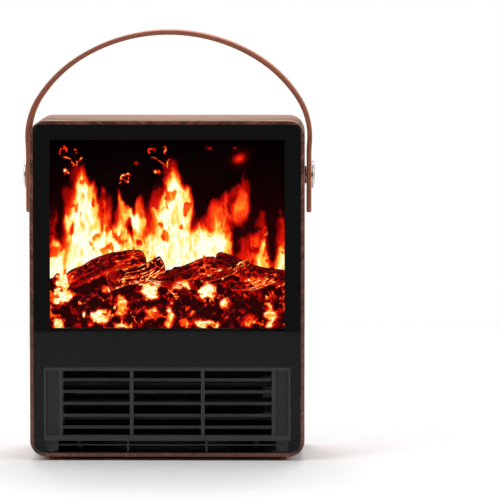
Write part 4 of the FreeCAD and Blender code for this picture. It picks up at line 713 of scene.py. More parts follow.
def strapLine():
    # middle line as (distance, x, z, heading) rows from the right tab's end up to the crown;
    # each arc turns the heading steadily, and the shoulder's radius makes the crown meet the top
    v = strap
    sideX = shellHigh.x / mm + v["washer"] + v["thick"] / 2
    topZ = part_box("carry_strap")[1].z / mm - v["thick"] / 2
    startZ = v["pivotHeight"] + v["leanStart"]
    lean, shoulder = math.radians(-v["lean"]), math.radians(v["shoulder"])
    upper = shoulder + math.radians(v["upper"])
    rise, inward = v["straight"] * math.cos(lean), v["straight"] * math.sin(lean)
    for radius, a, b in ((-v["footRadius"], 0, lean), (v["upperRadius"], shoulder, upper)):
        rise += radius * (math.sin(b) - math.sin(a))
        inward += radius * (math.cos(a) - math.cos(b))
    crownShare = (1 - math.sin(upper)) / math.cos(upper)
    shoulderRise = math.sin(shoulder) - math.sin(lean)
    shoulderInward = math.cos(lean) - math.cos(shoulder)
    shoulderRadius = ((topZ - startZ - rise - (sideX - inward) * crownShare)
                      / (shoulderRise - shoulderInward * crownShare))
    crownRadius = (sideX - inward - shoulderRadius * shoulderInward) / math.cos(upper)
    tabLength = v["leanStart"] + v["tabDrop"]
    lengths = [tabLength, -v["footRadius"] * lean, v["straight"],
               shoulderRadius * (shoulder - lean), v["upperRadius"] * (upper - shoulder),
               crownRadius * (math.pi / 2 - upper)]
    bends = [0, 1 / -v["footRadius"], 0, 1 / shoulderRadius, 1 / v["upperRadius"], 1 / crownRadius]
    ends = np.cumsum(lengths)
    slitLow = v["tabDrop"]
    slitHigh = slitLow + v["slitRise"] - v["slitHalf"]
    roundEnd = v["slitHalf"] * np.sin(np.linspace(0, math.pi / 2, 9))
    pastEnd = v["slitHalf"] + np.array([0.2, 0.6, 1.4])
    stations = [np.array([0, 0.05, 0.2, 0.5, 0.9, 1.35, 1.9, 2.6, 3.3, 4.1, 5.0]),
                slitLow - roundEnd, slitHigh + roundEnd, slitLow - pastEnd, slitHigh + pastEnd,
                ends, np.arange(6.5, ends[-1] - 0.6, 1.6)]
    along = np.unique(np.round(np.concatenate(stations), 4))
    along = along[np.concatenate([[True], np.diff(along) > 0.03])]
    x, z, heading = np.full_like(along, sideX), startZ - tabLength + along, np.zeros_like(along)
    px, pz, angle, start = sideX, startZ - tabLength, 0.0, 0.0
    for length, bend in zip(lengths, bends):
        inside = along >= start - 1e-6
        far = along[inside] - start
        if bend:
            turned = angle + far * bend
            x[inside] = px - (np.cos(angle) - np.cos(turned)) / bend
            z[inside] = pz + (np.sin(turned) - np.sin(angle)) / bend
            px, pz = (px - (math.cos(angle) - math.cos(angle + length * bend)) / bend,
                      pz + (math.sin(angle + length * bend) - math.sin(angle)) / bend)
            angle += length * bend
            heading[inside] = turned
        else:
            x[inside] = px - far * math.sin(angle)
            z[inside] = pz + far * math.cos(angle)
            px, pz = px - length * math.sin(angle), pz + length * math.cos(angle)
            heading[inside] = angle
        start += length
    return along, x, z, heading


def strapDistance(along, across):
    # distance in from the outline: a rounded tab end, straight sides and a slit with round ends
    v = strap
    half, corner = v["width"] / 2, v["tabCorner"]
    outer = np.minimum(along, half - across)
    inCorner = (along < corner) & (across > half - corner)
    rounded = corner - np.hypot(corner - along, across - (half - corner))
    outer = np.where(inCorner, rounded, outer)
    slitLow, slitHigh = v["tabDrop"], v["tabDrop"] + v["slitRise"] - v["slitHalf"]
    beyond = along - np.clip(along, slitLow, slitHigh)
    slit = np.hypot(beyond, across) - v["slitHalf"]
    return np.maximum(outer, 0), np.maximum(slit, 0)


def makeStrap():
    v = strap
    along, x, z, heading = strapLine()
    total = along[-1]
    # the far half mirrors the near one, so one array runs from tab to tab
    whole = np.concatenate([along, 2 * total - along[-2::-1]])
    x, z = np.concatenate([x, -x[-2::-1]]), np.concatenate([z, z[-2::-1]])
    heading = np.concatenate([heading, math.pi - heading[-2::-1]])
    near = np.minimum(whole, 2 * total - whole)
    half, corner, slitHalf = v["width"] / 2, v["tabCorner"], v["slitHalf"]
    edge = np.where(near < corner, half - corner + np.sqrt(np.maximum(
        0, corner ** 2 - (corner - np.minimum(near, corner)) ** 2)), half)
    slitLow, slitHigh = v["tabDrop"], v["tabDrop"] + v["slitRise"] - slitHalf
    beyond = near - np.clip(near, slitLow, slitHigh)
    inner = np.sqrt(np.maximum(0, slitHalf ** 2 - beyond ** 2))
    fine = np.array([0, 0.05, 0.2, 0.45, 0.8, 1.35]) / (half - slitHalf)
    shares = np.concatenate([fine, np.linspace(fine[-1], 1 - fine[-1], 10)[1:-1], 1 - fine[::-1]])
    rows, columns = len(whole), len(shares)
    across = inner[:, None] + (edge - inner)[:, None] * shares
    outerGap, slitGap = strapDistance(near[:, None] * np.ones(columns), across)
    top = v["thick"] / 2

    def crown(gap, radius):  # how far the face drops near an edge of a given rounding
        inside = np.clip(radius - gap, 0, radius)
        return radius - np.sqrt(np.maximum(0, radius ** 2 - inside ** 2))
    swell = 1 + 0.012 * (fractalNoise(whole[:, None] / 22 + 0 * across, across / 9, 5) - 0.5)
    lift = top * swell - np.maximum(crown(outerGap, v["edgeRound"]), crown(slitGap, v["slitRound"]))
    lift = np.minimum(lift, top)
    normal = np.stack([np.cos(heading), np.zeros(rows), np.sin(heading)], axis=1)
    base = np.stack([x, np.zeros(rows), z], axis=1)
    points, flat = [], []
    for side in (1, -1):
        for face in (1, -1):
            surface = base[:, None, :] + normal[:, None, :] * (face * lift)[..., None]
            surface = surface + np.stack([0 * across, side * across, 0 * across], axis=-1)
            points.append(surface.reshape(-1, 3))
            gap = np.minimum(outerGap, slitGap)
            place = np.stack([whole[:, None] + 0 * across, side * across, gap], axis=-1)
            flat.append(place.reshape(-1, 3))
    count = rows * columns
    faces = []
    for k, side in enumerate((1, -1)):
        topStart, lowStart = 2 * k * count, (2 * k + 1) * count
        faces.append(gridFaces(rows, columns, first=topStart, flip=side > 0))
        faces.append(gridFaces(rows, columns, first=lowStart, flip=side < 0))
        r = np.arange(rows - 1)
        for column, wanted, outward in ((columns - 1, np.ones(rows - 1, bool), True),
                                        (0, (inner[:-1] > 0) | (inner[1:] > 0), False)):
            rr = r[wanted]
            here, ahead = rr * columns + column, (rr + 1) * columns + column
            wall = np.stack([topStart + here, topStart + ahead, lowStart + ahead, lowStart + here], axis=1)
            faces.append(wall if (side > 0) == outward else wall[:, ::-1])
        c = np.arange(columns - 1)
        for row, atStart in ((0, True), (rows - 1, False)):
            here = row * columns + c
            wall = np.stack([topStart + here, topStart + here + 1, lowStart + here + 1, lowStart + here],
                            axis=1)
            faces.append(wall if (side > 0) == (not atStart) else wall[:, ::-1])
    piece = meshPiece("leatherStrap", np.concatenate(points) * mm, np.concatenate(faces))
    paint(piece, "flatPlace", np.concatenate(flat) * mm)
    weld(piece)
    piece.data.materials.append(finishes["leather"])
    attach(piece, "strap")
    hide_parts("carry_strap")


makeStrap()
print("strap made")


# stud heads: one turned profile per side, with a domed cap and a rolled bright rim

stud = {"headFace": 128.8, "height": 2.7, "radius": 12.25, "rim": 1.6, "capRise": 0.7,
        "neck": 1.5, "tip": 111.9, "around": 96}


def makeStuds():
    v = stud
    face, top, rim = v["headFace"], v["headFace"] + v["height"], v["radius"]
    capEdge = rim - v["rim"]
    capRadius = (capEdge ** 2 + v["capRise"] ** 2) / (2 * v["capRise"])
    # cap: a shallow sphere; rim: a quarter roll that stands a little proud of the cap's edge
    capR = np.linspace(0, capEdge, 24)
    cap = np.stack([top - capRadius + np.sqrt(capRadius ** 2 - capR ** 2), capR], axis=1)
    turn = np.linspace(0, math.pi / 2, 9)[1:]
    capLow = top - v["capRise"]
    groove = np.array([[capLow - 0.16, capEdge + 0.12], [capLow - 0.05, capEdge + 0.3]])
    roll = np.stack([face + 0.9 + (capLow - face - 0.95) * np.cos(turn),
                     rim - (v["rim"] - 0.45) * (1 - np.sin(turn))], axis=1)
    neck, tip = v["neck"], v["tip"]
    back = np.array([[face + 0.25, rim], [face + 0.05, rim - 0.2], [face, rim - 0.45],
                     [face, neck + 0.1], [face - 0.1, neck], [tip, neck], [tip, 0]])
    profile = np.concatenate([cap, groove, roll, back])
    axisZ = strap["pivotHeight"]
    angle = np.linspace(0, 2 * math.pi, v["around"], endpoint=False)
    points, faces = [], []
    for side in (1, -1):
        x = side * profile[:, :1] + 0 * angle
        y = profile[:, 1:] * np.cos(angle)
        z = axisZ + profile[:, 1:] * np.sin(angle)
        first = sum(len(p) for p in points)
        points.append(np.stack([x, y, z], axis=-1).reshape(-1, 3))
        faces.append(gridFaces(len(profile), len(angle), closeColumns=True, first=first, flip=side < 0))
    piece = meshPiece("studHeads", np.concatenate(points) * mm, np.concatenate(faces))
    weld(piece, 1e-7)
    piece.data.materials.append(makeStudMaterial())
    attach(piece, "root")
    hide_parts("strap_studs")


def makeStudMaterial():
    # satin nickel, turned: fine rings about the stud's axis
    material, tree, shader = newMaterial("turnedNickel", Metallic=1.0)
    place = axes(tree, objectPlace(tree))
    rise = minus(tree, place["Z"], strap["pivotHeight"] * mm)
    square = plus(tree, times(tree, place["Y"], place["Y"]), times(tree, rise, rise))
    rings = noiseAlong(tree, times(tree, maths(tree, "SQRT", square), 9000.0), 2.0)
    wear = noise(tree, objectPlace(tree), 120, 4, 0.6)
    joinTo(tree, shader, Base_Color=mixColours(tree, wear, "C4C2BE", "E6E5E2"),
           Roughness=rangeMap(tree, plus(tree, rings, wear), 0.7, 1.3, 0.2, 0.34))
    bump(tree, shader, rings, 0.08, 0.00003)
    return material


makeStuds()
print("studs made")


# fine wire mesh over the closed ends of the outlet, and the lattice of bars that it is woven from

endMesh = {"inner": 97.2, "outer": 107.6, "pitch": 1.7, "wire": 0.42, "inset": 2.05}


def boxes(low, high):
    # closed boxes from arrays of their lowest and highest corners
    pick = np.array([[i, j, k] for i in (0, 1) for j in (0, 1) for k in (0, 1)])
    points = np.where(pick[None] == 0, low[:, None, :], high[:, None, :]).reshape(-1, 3)
    quads = np.array([[0, 1, 3, 2], [4, 6, 7, 5], [0, 4, 5, 1], [2, 3, 7, 6], [0, 2, 6, 4], [1, 5, 7, 3]])
    return points, (quads[None] + 8 * np.arange(len(low))[:, None, None]).reshape(-1, 4)


def makeEndMesh():
    v = endMesh
    low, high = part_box("outlet_grille")
    y = low.y / mm + v["inset"]
    zLow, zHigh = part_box("air_duct")[0].z / mm + 1.5, high.z / mm - 3.3
    lows, highs = [], []
    half = v["wire"] / 2
    for side in (-1, 1):
        xs = np.arange(v["inner"] + v["pitch"] / 2, v["outer"], v["pitch"]) * side
        zs = np.arange(zLow + 0.6, zHigh, v["pitch"])
        x0, x1 = sorted((side * v["inner"], side * v["outer"]))
        lows.append(np.stack([xs - half, 0 * xs + y, 0 * xs + zLow], axis=1))
        highs.append(np.stack([xs + half, 0 * xs + y + 0.3, 0 * xs + zHigh], axis=1))
        lows.append(np.stack([0 * zs + x0, 0 * zs + y + 0.05, zs - half], axis=1))
        highs.append(np.stack([0 * zs + x1, 0 * zs + y + 0.33, zs + half], axis=1))
    points, faces = boxes(np.concatenate(lows), np.concatenate(highs))
    piece = meshPiece("endMesh", points * mm, faces, smooth=False)
    piece.data.materials.append(finishes["grille_moulding"])
    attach(piece, "root")
    # a black sheet closes the panel behind the mesh
    ends = np.array([[side * v["inner"], side * v["outer"]] for side in (-1, 1)])
    plain = np.full(2, y)
    points, faces = boxes(np.stack([ends.min(axis=1), plain + 0.3, plain * 0 + zLow], axis=1),
                          np.stack([ends.max(axis=1), plain + 0.34, plain * 0 + zHigh], axis=1))
    sheet = meshPiece("endSheet", points * mm, faces, smooth=False)
    sheet.data.materials.append(finishes["black_moulding"])
    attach(sheet, "root")


makeEndMesh()
print("end mesh made")


# marks on the rocker switches: a bar at the on end and a ring at the off end, moulded in relief

rockerMark = {"shift": 2.9, "height": 0.12, "barHalf": (0.28, 1.1), "ringRadius": 0.95, "ringWire": 0.3,
              "tilt": 12.0, "crown": 2.63, "halfWidth": 5.3, "thick": 1.5}
frameJoint = {joint["child"]: joint.get("pos_m") for joint in frame["joints"]}


def makeRockerMarks():
    v = rockerMark
    material, tree, shader = newMaterial("whiteMark", Roughness=0.5)
    joinTo(tree, shader, Base_Color=ramp(tree, noise(tree, objectPlace(tree), 900, 2),
                                         [(0.3, "BDBDB8"), (0.7, "DEDEDA")]))
    turn = math.radians(-v["tilt"])
    slope = math.atan2(v["crown"] - v["thick"], v["halfWidth"])
    for name in ("rocker_flame", "rocker_low", "rocker_high"):
        low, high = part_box(name)
        axisX = frameJoint[name][0] / mm
        axisY = frameJoint[name][1] / mm
        axisZ = (low.z + high.z) / 2 / mm
        points, faces = boxes(np.array([[-v["barHalf"][0], -v["height"] / 2, -v["barHalf"][1]]]),
                              np.array([[v["barHalf"][0], v["height"], v["barHalf"][1]]]))
        around = np.linspace(0, 2 * math.pi, 33)[:-1]
        section = np.array([[-1, -0.5], [1, -0.5], [1, 1], [-1, 1]]) * [v["ringWire"] / 2, v["height"]]
        radius = v["ringRadius"] + section[:, 0]
        ring = np.stack([np.cos(around)[:, None] * radius, 0 * around[:, None] + section[:, 1],
                         np.sin(around)[:, None] * radius], axis=-1).reshape(-1, 3)
        ringFaces = gridFaces(32, 4, closeRows=True, closeColumns=True, first=len(points))
        parts = []
        for shape, shift, lean in ((points, v["shift"], -slope), (ring, -v["shift"], slope)):
            # tilt the mark onto its half of the crowned face, then turn it with the rocker
            x = shape[:, 0] * math.cos(lean) - shape[:, 1] * math.sin(lean) + shift
            y = (shape[:, 0] * math.sin(lean) + shape[:, 1] * math.cos(lean)
                 + v["crown"] - abs(shift) * math.tan(slope) + 0.01)
            parts.append(np.stack([x * math.cos(turn) - y * math.sin(turn) + axisX,
                                   x * math.sin(turn) + y * math.cos(turn) + axisY,
                                   shape[:, 2] + axisZ], axis=1))
        piece = meshPiece(name.replace("rocker_", "") + "Mark", np.concatenate(parts) * mm,
                          np.concatenate([faces, ringFaces]), smooth=False)
        weld(piece, 1e-7)
        piece.data.materials.append(material)
        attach(piece, name)


makeRockerMarks()
print("rocker marks made")


# the flame picture: tongues of heat drawn on the screen, bent and torn by noise

screenLow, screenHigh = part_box("flame_screen")
picture = {
    "columns": 330, "rows": 296, "left": -104.5, "low": 116.0, "width": 209.0,
    "billow": 8, "wisp": 9, "lift": 15, "wispLift": 8,  # how far the noise pushes the tongues
    "fray": 7,  # how far it tears the sparks
    "glowAt": (168, 152), "glowSize": (7, 6), "glowHeat": 0.34, "gain": 1.06,
}
# each tongue: foot and tip across and up from the window's lower left corner, half width at
# the foot, heat, and how far it sways
tongues = {
    "leftCorner": (3, 38, 2, 84, 9, 1.15, 1),
    "leftSliver": (0, 60, 1, 116, 4, 0.36, 1),
    "firstRed": (25, 44, 27, 160, 17, 0.42, 4),
    "firstBody": (25, 40, 32, 152, 16, 1.20, 2),
    "firstCore": (26, 44, 26, 136, 11, 0.80, 3),
    "firstRight": (39, 84, 40, 136, 5, 0.75, 1),
    "firstArm": (20, 92, 12, 106, 7, 0.90, 1),
    "firstHalo": (13, 96, 13, 134, 6, 0.30, 2),
    "slimRed": (51, 84, 47, 134, 5.5, 0.56, 1),
    "slimGold": (62, 56, 64, 134, 6, 0.76, 2),
    "lowMass": (54, 42, 52, 97, 19, 1.20, 2),
    "lowShelf": (62, 54, 64, 92, 9, 0.90, 2),
    "goldStem": (75, 62, 83, 124, 6, 0.74, 2),
    "goldPatch": (78, 90, 67, 108, 7, 1.0, 1),
    "joinRed": (91, 62, 92, 132, 8, 0.34, 2),
    "joinLow": (90, 42, 85, 92, 9, 0.98, 3),
    "rightGold": (149, 44, 147, 90, 13, 1.05, 3),
    "sweepLow": (142, 70, 146, 118, 13, 0.54, 1),
    "sweepHigh": (150, 70, 157, 131, 10, 0.46, 1),
    "redSpire": (169, 94, 175, 151, 7, 0.36, 1),
    "redShelf": (164, 100, 166, 132, 9, 0.34, 1),
    "farRed": (178, 40, 180, 92, 17, 0.46, 2),
    "farTall": (187, 46, 186, 112, 8, 0.44, 2),
    "farGold": (190, 42, 189, 84, 6, 0.62, 1),
    "edgeTall": (208, 40, 205, 118, 6, 0.50, 1),
    "edgeGold": (206, 38, 208, 80, 8, 0.92, 1),
}
# the tall flame and the mass beside it stand twice, the second time further right
for name in ("firstRed", "firstBody", "firstCore", "firstRight", "firstArm", "lowMass"):
    foot, footUp, tip, *rest = tongues[name]
    tongues[name + "Again"] = (foot + 81, footUp, tip + 81, *rest)
# sparks and curls above the fire, each a short arc: its centre across and up, its radius, where it
# starts and how far it turns in degrees, its thickness and its heat
embersAloft = {
    "curl": (10, 159, 2.2, 20, 200, 1.5, 0.50), "hook": (21, 159, 1.7, -60, 230, 0.9, 0.66),
    "tail": (9, 141, 12.0, 25, 60, 0.8, 0.72), "flake": (14, 140, 0.9, 0, 360, 2.1, 0.95),
    "lick": (29, 146, 6.0, 110, 90, 1.0, 0.70),
    "twinCurl": (90, 159, 2.2, 20, 200, 1.5, 0.50), "twinHook": (100.5, 159, 1.7, -60, 230, 0.9, 0.66),
    "twinTail": (88.5, 141, 12.0, 25, 60, 0.8, 0.72), "twinFlake": (94, 140, 0.9, 0, 360, 2.1, 0.95),
    "twinLick": (109, 146, 6.0, 110, 90, 1.0, 0.70),
    "loop": (67, 135, 2.8, 0, 330, 1.0, 0.82), "loopTail": (57, 134, 5.5, -50, 70, 0.9, 0.68),
    "dart": (76, 147, 0.6, 0, 360, 2.4, 0.30), "dot": (142, 160, 0.8, 0, 360, 2.0, 0.34),
    "farSpark": (165, 161, 0.3, 0, 360, 1.2, 0.36), "streak": (184, 88, 9, -25, 45, 0.6, 0.66),
}


def tongueHeat(across, up, foot, footUp, tip, tipUp, halfWidth, heat, sway):
    # a plume: its middle line runs from foot to tip and sways, its width stays full and closes
    # near the tip, and its edge falls off with a power of the distance
    share = (up - footUp) / (tipUp - footUp)
    inside = np.clip(share, 0, 1)
    middle = foot + (tip - foot) * inside ** 1.3 + sway * np.sin(5.2 * inside + foot) * inside
    belly = 0.86 + 0.2 * np.sin(math.pi * inside ** 0.7)
    width = halfWidth * (1 - inside ** 2.6) ** 0.9 * belly + 0.2
    body = np.exp(-(np.abs(across - middle) / width) ** 3.0)
    fade = (1 - ease(share, 0.78, 1.02)) * ease(share, -0.25, 0.08)
    return heat * body * (0.5 + 0.5 * (1 - inside ** 3)) * fade


def arcHeat(across, up, centreAcross, centreUp, radius, start, sweep, thickness, heat):
    # distance from an arc: off its radius, and past its ends where the angle leaves the sweep
    away, rise = across - centreAcross, up - centreUp
    turn = np.degrees(np.arctan2(rise, away)) - start
    past = np.minimum(turn % 360, (-turn) % 360)
    past = np.where(turn % 360 <= sweep, 0, past)
    distance = np.hypot(np.hypot(away, rise) - radius, np.radians(past) * radius)
    return heat * (1 - ease(distance / thickness, 0.35, 1.1))


def makeFlamePicture():
    v = picture
    low, high = np.array(screenLow) / mm, np.array(screenHigh) / mm
    x = np.linspace(low[0], high[0], v["columns"])
    z = np.linspace(low[2], high[2], v["rows"])
    X, Z = np.meshgrid(x, z)
    u, w = X - v["left"], Z - v["low"]
    # warp: coarse billows, then finer wisps that are taller than they are wide
    billow = fractalNoise(u / 22 + 3, w / 36 + 1, 21, 3) - 0.5
    wisp = fractalNoise(u / 7 + 9, w / 17 + 4, 31, 4) - 0.5
    shift = fractalNoise(u / 12 + 5, w / 16 + 7, 41, 4) - 0.5
    reach = ease(w, 30, 90)
    au = u + (v["billow"] * billow + v["wisp"] * wisp) * (0.45 + 0.55 * reach)
    aw = w + v["lift"] * shift + v["wispLift"] * wisp
    cold = np.ones_like(u)
    for row in tongues.values():
        cold *= 1 - np.clip(tongueHeat(au, aw, *row), 0, 0.97)
    heat = 1 - cold
    # threads: sharp bright and dark veins that run up the flame
    thread = fractalNoise(au / 3.0 + 11, aw / 15 + 2, 51, 4)
    vein = 1 - np.abs(2 * fractalNoise(au / 4.2 + 17, aw / 13 + 6, 61, 3) - 1)
    heat = heat * (0.60 + 0.50 * thread) + 0.24 * heat * (vein ** 5) - 0.14 * (1 - heat) * heat
    holes = ease(fractalNoise(au / 6 + 2, aw / 10 + 3, 71, 3), 0.60, 0.74)
    heat *= 1 - 0.42 * holes * ease(w, 34, 60)
    # torn edges
    heat = np.where(heat > 0.08, heat, heat * ease(heat, 0.0, 0.08))
    torn = v["fray"] * (fractalNoise(u / 4.2, w / 4.2, 81, 3) - 0.5)
    lift = v["fray"] * (fractalNoise(u / 4.6 + 8, w / 4.6, 85, 3) - 0.5)
    frayed = ease(fractalNoise(u / 1.9, w / 1.9, 87, 2), 0.28, 0.52)
    for row in embersAloft.values():
        heat = np.maximum(heat, arcHeat(u + torn, w + lift, *row) * (0.35 + 0.65 * frayed))
    # one soft red glow high on the right
    (glowU, glowW), (wide, tall) = v["glowAt"], v["glowSize"]
    glow = np.exp(-((u - glowU - 0.3 * (w - glowW + 1)) / wide) ** 2 - ((w - glowW) / tall) ** 2)
    heat = np.maximum(heat, v["glowHeat"] * glow + 0.14 * glow ** 6)
    # faint smoke glow about the fire, and the deep glow behind the coals
    haze = 0.085 * np.exp(-((w - 70) / 46) ** 2) * fractalNoise(u / 16, w / 20, 91, 3) * 1.6
    heat = np.maximum(heat, haze)
    below = 1 - ease(w, 28, 54)
    coals = 0.30 + 0.34 * fractalNoise(u / 9, w / 6, 101, 3)
    heat = heat * (1 - below) + coals * below
    heat = np.clip(heat * v["gain"], 0, 1.05)
    # a thin closed sheet: the picture on its front, plain at the back
    front = np.stack([X, np.full_like(X, low[1]), Z], axis=-1).reshape(-1, 3)
    rows, columns = v["rows"], v["columns"]
    piece = meshPiece("flamePicture", front * mm, gridFaces(rows, columns))
    paint(piece, "glowMap", heat.ravel())
    piece.data.materials.append(finishes["flame_film"])
    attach(piece, "root")
    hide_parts("flame_screen")
    back, faces = boxes(np.array([[low[0], low[1] + 0.05, low[2]]]), np.array([high]))
    panel = meshPiece("screenPanel", back * mm, faces, smooth=False)
    paint(panel, "glowMap", np.zeros(len(back)))
    panel.data.materials.append(finishes["flame_film"])
    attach(panel, "root")


makeFlamePicture()
print("flame picture made")


# the fire bed: logs laid across a heap of coals

bedLow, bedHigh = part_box("ember_bed")
# each log: both ends (across from the window's left edge, depth, up from its sill), radius, glow
logs = {
    "leftLog": ((14, 17, 44), (84, 20, 66), 8.2, 0.30),
    "splitLog": ((52, 10, 39), (101, 14, 60), 7.6, 0.62),
    "middleLog": ((96, 18, 45), (150, 20, 56), 7.4, 0.34),
    "stick": ((134, 11, 43), (178, 13, 60), 3.2, 0.60),
    "rightLog": ((146, 18, 60), (210, 20, 45), 7.8, 0.30),
    "lowStick": ((160, 8, 38), (204, 10, 46), 4.2, 0.50),
    "crossStick": ((84, 8, 46), (118, 9, 38), 2.6, 0.55),
}
coalHeap = {
    "rows": 5, "perRow": 13, "radius": 11.0, "front": 3.0, "back": 25.0, "foot": 3.0, "crest": 41.0,
    "around": 34, "rings": 22, "inset": 6.0, "depthHalf": 5.2, "jitter": 2.6, "spread": 0.28,
}
# hearts of the heap: across, up, half width, half height, heat
hotSpots = [
    (11, 30, 11, 9, 0.95), (8, 6, 7, 7, 0.75), (42, 12, 14, 8, 0.95), (63, 20, 6, 12, 0.70),
    (88, 33, 10, 9, 1.05), (118, 41, 10, 6, 1.0), (140, 34, 9, 9, 1.05), (106, 14, 5, 14, 0.7),
    (155, 24, 8, 6, 0.85), (66, 4, 12, 4, 0.7), (90, 16, 7, 8, 0.6), (184, 43, 16, 5, 0.85),
    (196, 14, 7, 14, 0.80), (140, 6, 14, 5, 0.75), (12, 44, 10, 8, 0.9), (176, 8, 9, 6, 0.45),
    (48, 36, 9, 4, 0.55), (122, 6, 8, 5, 0.6),
]


def bedPoint(across, depth, up):
    return np.stack([picture["left"] + across, bedLow.y / mm + depth, picture["low"] + up], axis=-1)


def spotHeat(points):
    # the nearest hot spots' glow at each point, as soft ellipses on the front view
    across, up = points[:, 0] - picture["left"], points[:, 2] - picture["low"]
    torn = fractalNoise3(points[:, 0] / 5, points[:, 1] / 5, points[:, 2] / 5, 111, 3) - 0.5
    glow = np.zeros(len(points))
    for a, b, wide, tall, heat in hotSpots:
        reach = np.hypot((across - a) / wide, (up - b) / tall) + 1.5 * torn
        glow = np.maximum(glow, heat * (1 - ease(reach, 0.45, 1.0)))
    return glow


def crackHeat(points, size, seed, sharp=9.0):
    # thin bright lines where noise crosses its middle value
    n = fractalNoise3(points[:, 0] / size, points[:, 1] / size, points[:, 2] / size, seed, 3)
    return np.clip(1 - np.abs(n - 0.5) * sharp * 2, 0, 1) ** 1.5


def makeLogs():
    points, heats, faces = [], [], []
    rng = np.random.default_rng(17)
    along, around = 110, 56
    for k, (start, end, radius, glow) in enumerate(logs.values()):
        a, b = bedPoint(*start), bedPoint(*end)
        axis = (b - a) / np.linalg.norm(b - a)
        side = np.cross(axis, [0, 1, 0])
        side /= np.linalg.norm(side)
        out = np.cross(side, axis)
        length = np.linalg.norm(b - a)
        t = np.linspace(0, 1, along)[:, None]
        angle = np.linspace(0, 2 * math.pi, around, endpoint=False)[None, :]
        # bark: ridges that run along the log, torn by finer noise, with broken ends
        turnX, turnY = np.cos(angle), np.sin(angle)
        ringX, ringY, run = turnX + 0 * t, turnY + 0 * t, t * length + 0 * angle
        ridge = fractalNoise3(ringX * 3.2 + 10, ringY * 3.2 + 10, run / 26, 120 + 7 * k, 4)
        chip = fractalNoise3(ringX * 1.3 + 5, ringY * 1.3 + 5, run / 9, 160 + 7 * k, 3)
        r = radius * (0.80 + 0.44 * ridge + 0.26 * (chip - 0.5))
        close = np.sqrt(np.clip(1 - (np.abs(2 * t - 1)) ** 22, 0, 1))
        r = r * close
        bow = radius * 0.35 * np.sin(math.pi * t * 1.7 + rng.random() * 6)
        centre = a + (b - a) * t + side * bow
        cloud = centre[:, None, :] + r[..., None] * (turnX[..., None] * side + turnY[..., None] * out)
        cloud = cloud.reshape(-1, 3)
        cloud[:, 1] = np.clip(cloud[:, 1], bedLow.y / mm + 0.5, screenLow.y / mm - 0.3)
        # cracks glow where the bark is low; the split log shows long glowing fibres
        fibres = np.clip(1 - np.abs(ridge - 0.5) * 24, 0, 1)
        crack = np.maximum(fibres.ravel(), 0.8 * crackHeat(cloud, 6.0, 171 + k, 12))
        patch = ease(fractalNoise3(*(cloud.T / 11), 181 + k, 2), 0.35, 0.62)
        under = 0.35 * ease(-(cloud[:, 2] - (centre[:, 2:] + 0 * angle).ravel()) / radius, 0.3, 1.0)
        heat = glow * 1.35 * crack * (0.30 + 0.85 * patch) + 0.6 * under + 0.13 + 0.35 * spotHeat(cloud)
        first = sum(len(p) for p in points)
        points.append(cloud)
        heats.append(heat)
        faces.append(gridFaces(along, around, closeColumns=True, first=first))
    piece = meshPiece("fireLogs", np.concatenate(points) * mm, np.concatenate(faces))
    paint(piece, "glowMap", np.clip(np.concatenate(heats), 0, 1.0))
    weld(piece, 1e-7)
    piece.data.materials.append(finishes["ember_moulding"])
    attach(piece, "root")
    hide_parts("log_set")


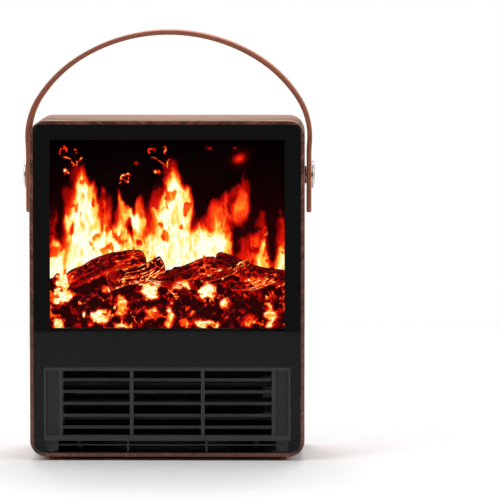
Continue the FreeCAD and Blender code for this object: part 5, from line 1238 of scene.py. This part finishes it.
def makeCoals():
    v = coalHeap
    rng = np.random.default_rng(29)
    count = v["rows"] * v["perRow"]
    row = np.repeat(np.arange(v["rows"]), v["perRow"])
    place = np.tile(np.arange(v["perRow"]), v["rows"])
    share = row / (v["rows"] - 1)
    across = place + 0.5 + 0.5 * (row % 2) + rng.uniform(-v["spread"], v["spread"], count)
    across = across / (v["perRow"] + 0.5) * picture["width"]
    depth = v["front"] + 3 + (v["back"] - v["front"] - 6) * share
    up = v["foot"] + (v["crest"] - v["foot"]) * share + rng.uniform(-v["jitter"], v["jitter"], count)
    centre = bedPoint(np.clip(across, v["inset"], picture["width"] - v["inset"]), depth, up)
    scale = v["radius"] * rng.uniform(0.72, 1.25, (count, 1)) * rng.uniform(0.75, 1.2, (count, 3))
    scale[:, 1] = np.minimum(scale[:, 1], v["depthHalf"])
    theta = np.linspace(0, math.pi, v["rings"])
    phi = np.linspace(0, 2 * math.pi, v["around"], endpoint=False)
    unit = np.stack([np.sin(theta)[:, None] * np.cos(phi), np.sin(theta)[:, None] * np.sin(phi),
                     np.cos(theta)[:, None] + 0 * phi], axis=-1).reshape(-1, 3)
    seedShift = rng.uniform(0, 30, (count, 1, 3))
    sample = unit[None] * 1.6 + seedShift
    lump = fractalNoise3(sample[..., 0], sample[..., 1], sample[..., 2], 131, 4)
    # coals are chunky: the noise is folded so that they get flats and broken edges
    body = 0.72 + 0.62 * np.abs(2 * lump - 1) ** 0.7 * np.sign(lump - 0.5) + 0.12
    spin = rng.uniform(0, 2 * math.pi, count)
    shape = unit[None] * body[..., None] * scale[:, None, :]
    c, s = np.cos(spin)[:, None], np.sin(spin)[:, None]
    turned = np.stack([shape[..., 0] * c - shape[..., 2] * s, shape[..., 1],
                       shape[..., 0] * s + shape[..., 2] * c], axis=-1)
    cloud = (centre[:, None, :] + turned).reshape(-1, 3)
    cloud[:, 1] = np.clip(cloud[:, 1], bedLow.y / mm + 0.3, screenLow.y / mm - 0.3)
    cloud[:, 2] = np.maximum(cloud[:, 2], bedHigh.z / mm - 3)
    cloud[:, 0] = np.clip(cloud[:, 0], bedLow.x / mm + 0.3, bedHigh.x / mm - 0.3)
    # the hollows between coals glow, their cold faces show only cracks
    hollow = 1 - ease(body.ravel(), 0.45, 0.85)
    crack = crackHeat(cloud, 7.5, 141, 15)
    wander = ease(fractalNoise3(*(cloud.T / 15), 151, 2), 0.48, 0.66)
    heat = 0.20 * hollow + 0.70 * crack * wander + 0.09 + spotHeat(cloud) * (0.80 + 0.25 * hollow)
    quads = gridFaces(v["rings"], v["around"], closeColumns=True, flip=True)
    faces = (quads[None] + (len(unit) * np.arange(count))[:, None, None]).reshape(-1, 4)
    piece = meshPiece("coalHeap", cloud * mm, faces)
    paint(piece, "glowMap", np.clip(heat, 0, 1.0))
    weld(piece, 1e-7)
    piece.data.materials.append(finishes["ember_moulding"])
    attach(piece, "root")


def finishTray():
    # the tray under the heap has no glow map, so it gets a dark finish of its own
    tray = nodes["ember_bed"].data.materials
    tray.clear()
    tray.append(plasticFinish("emberTray", "140706", 0.8, 0.1, 600, 0.4, 0.2))


makeLogs()
makeCoals()
finishTray()
print("fire bed made")
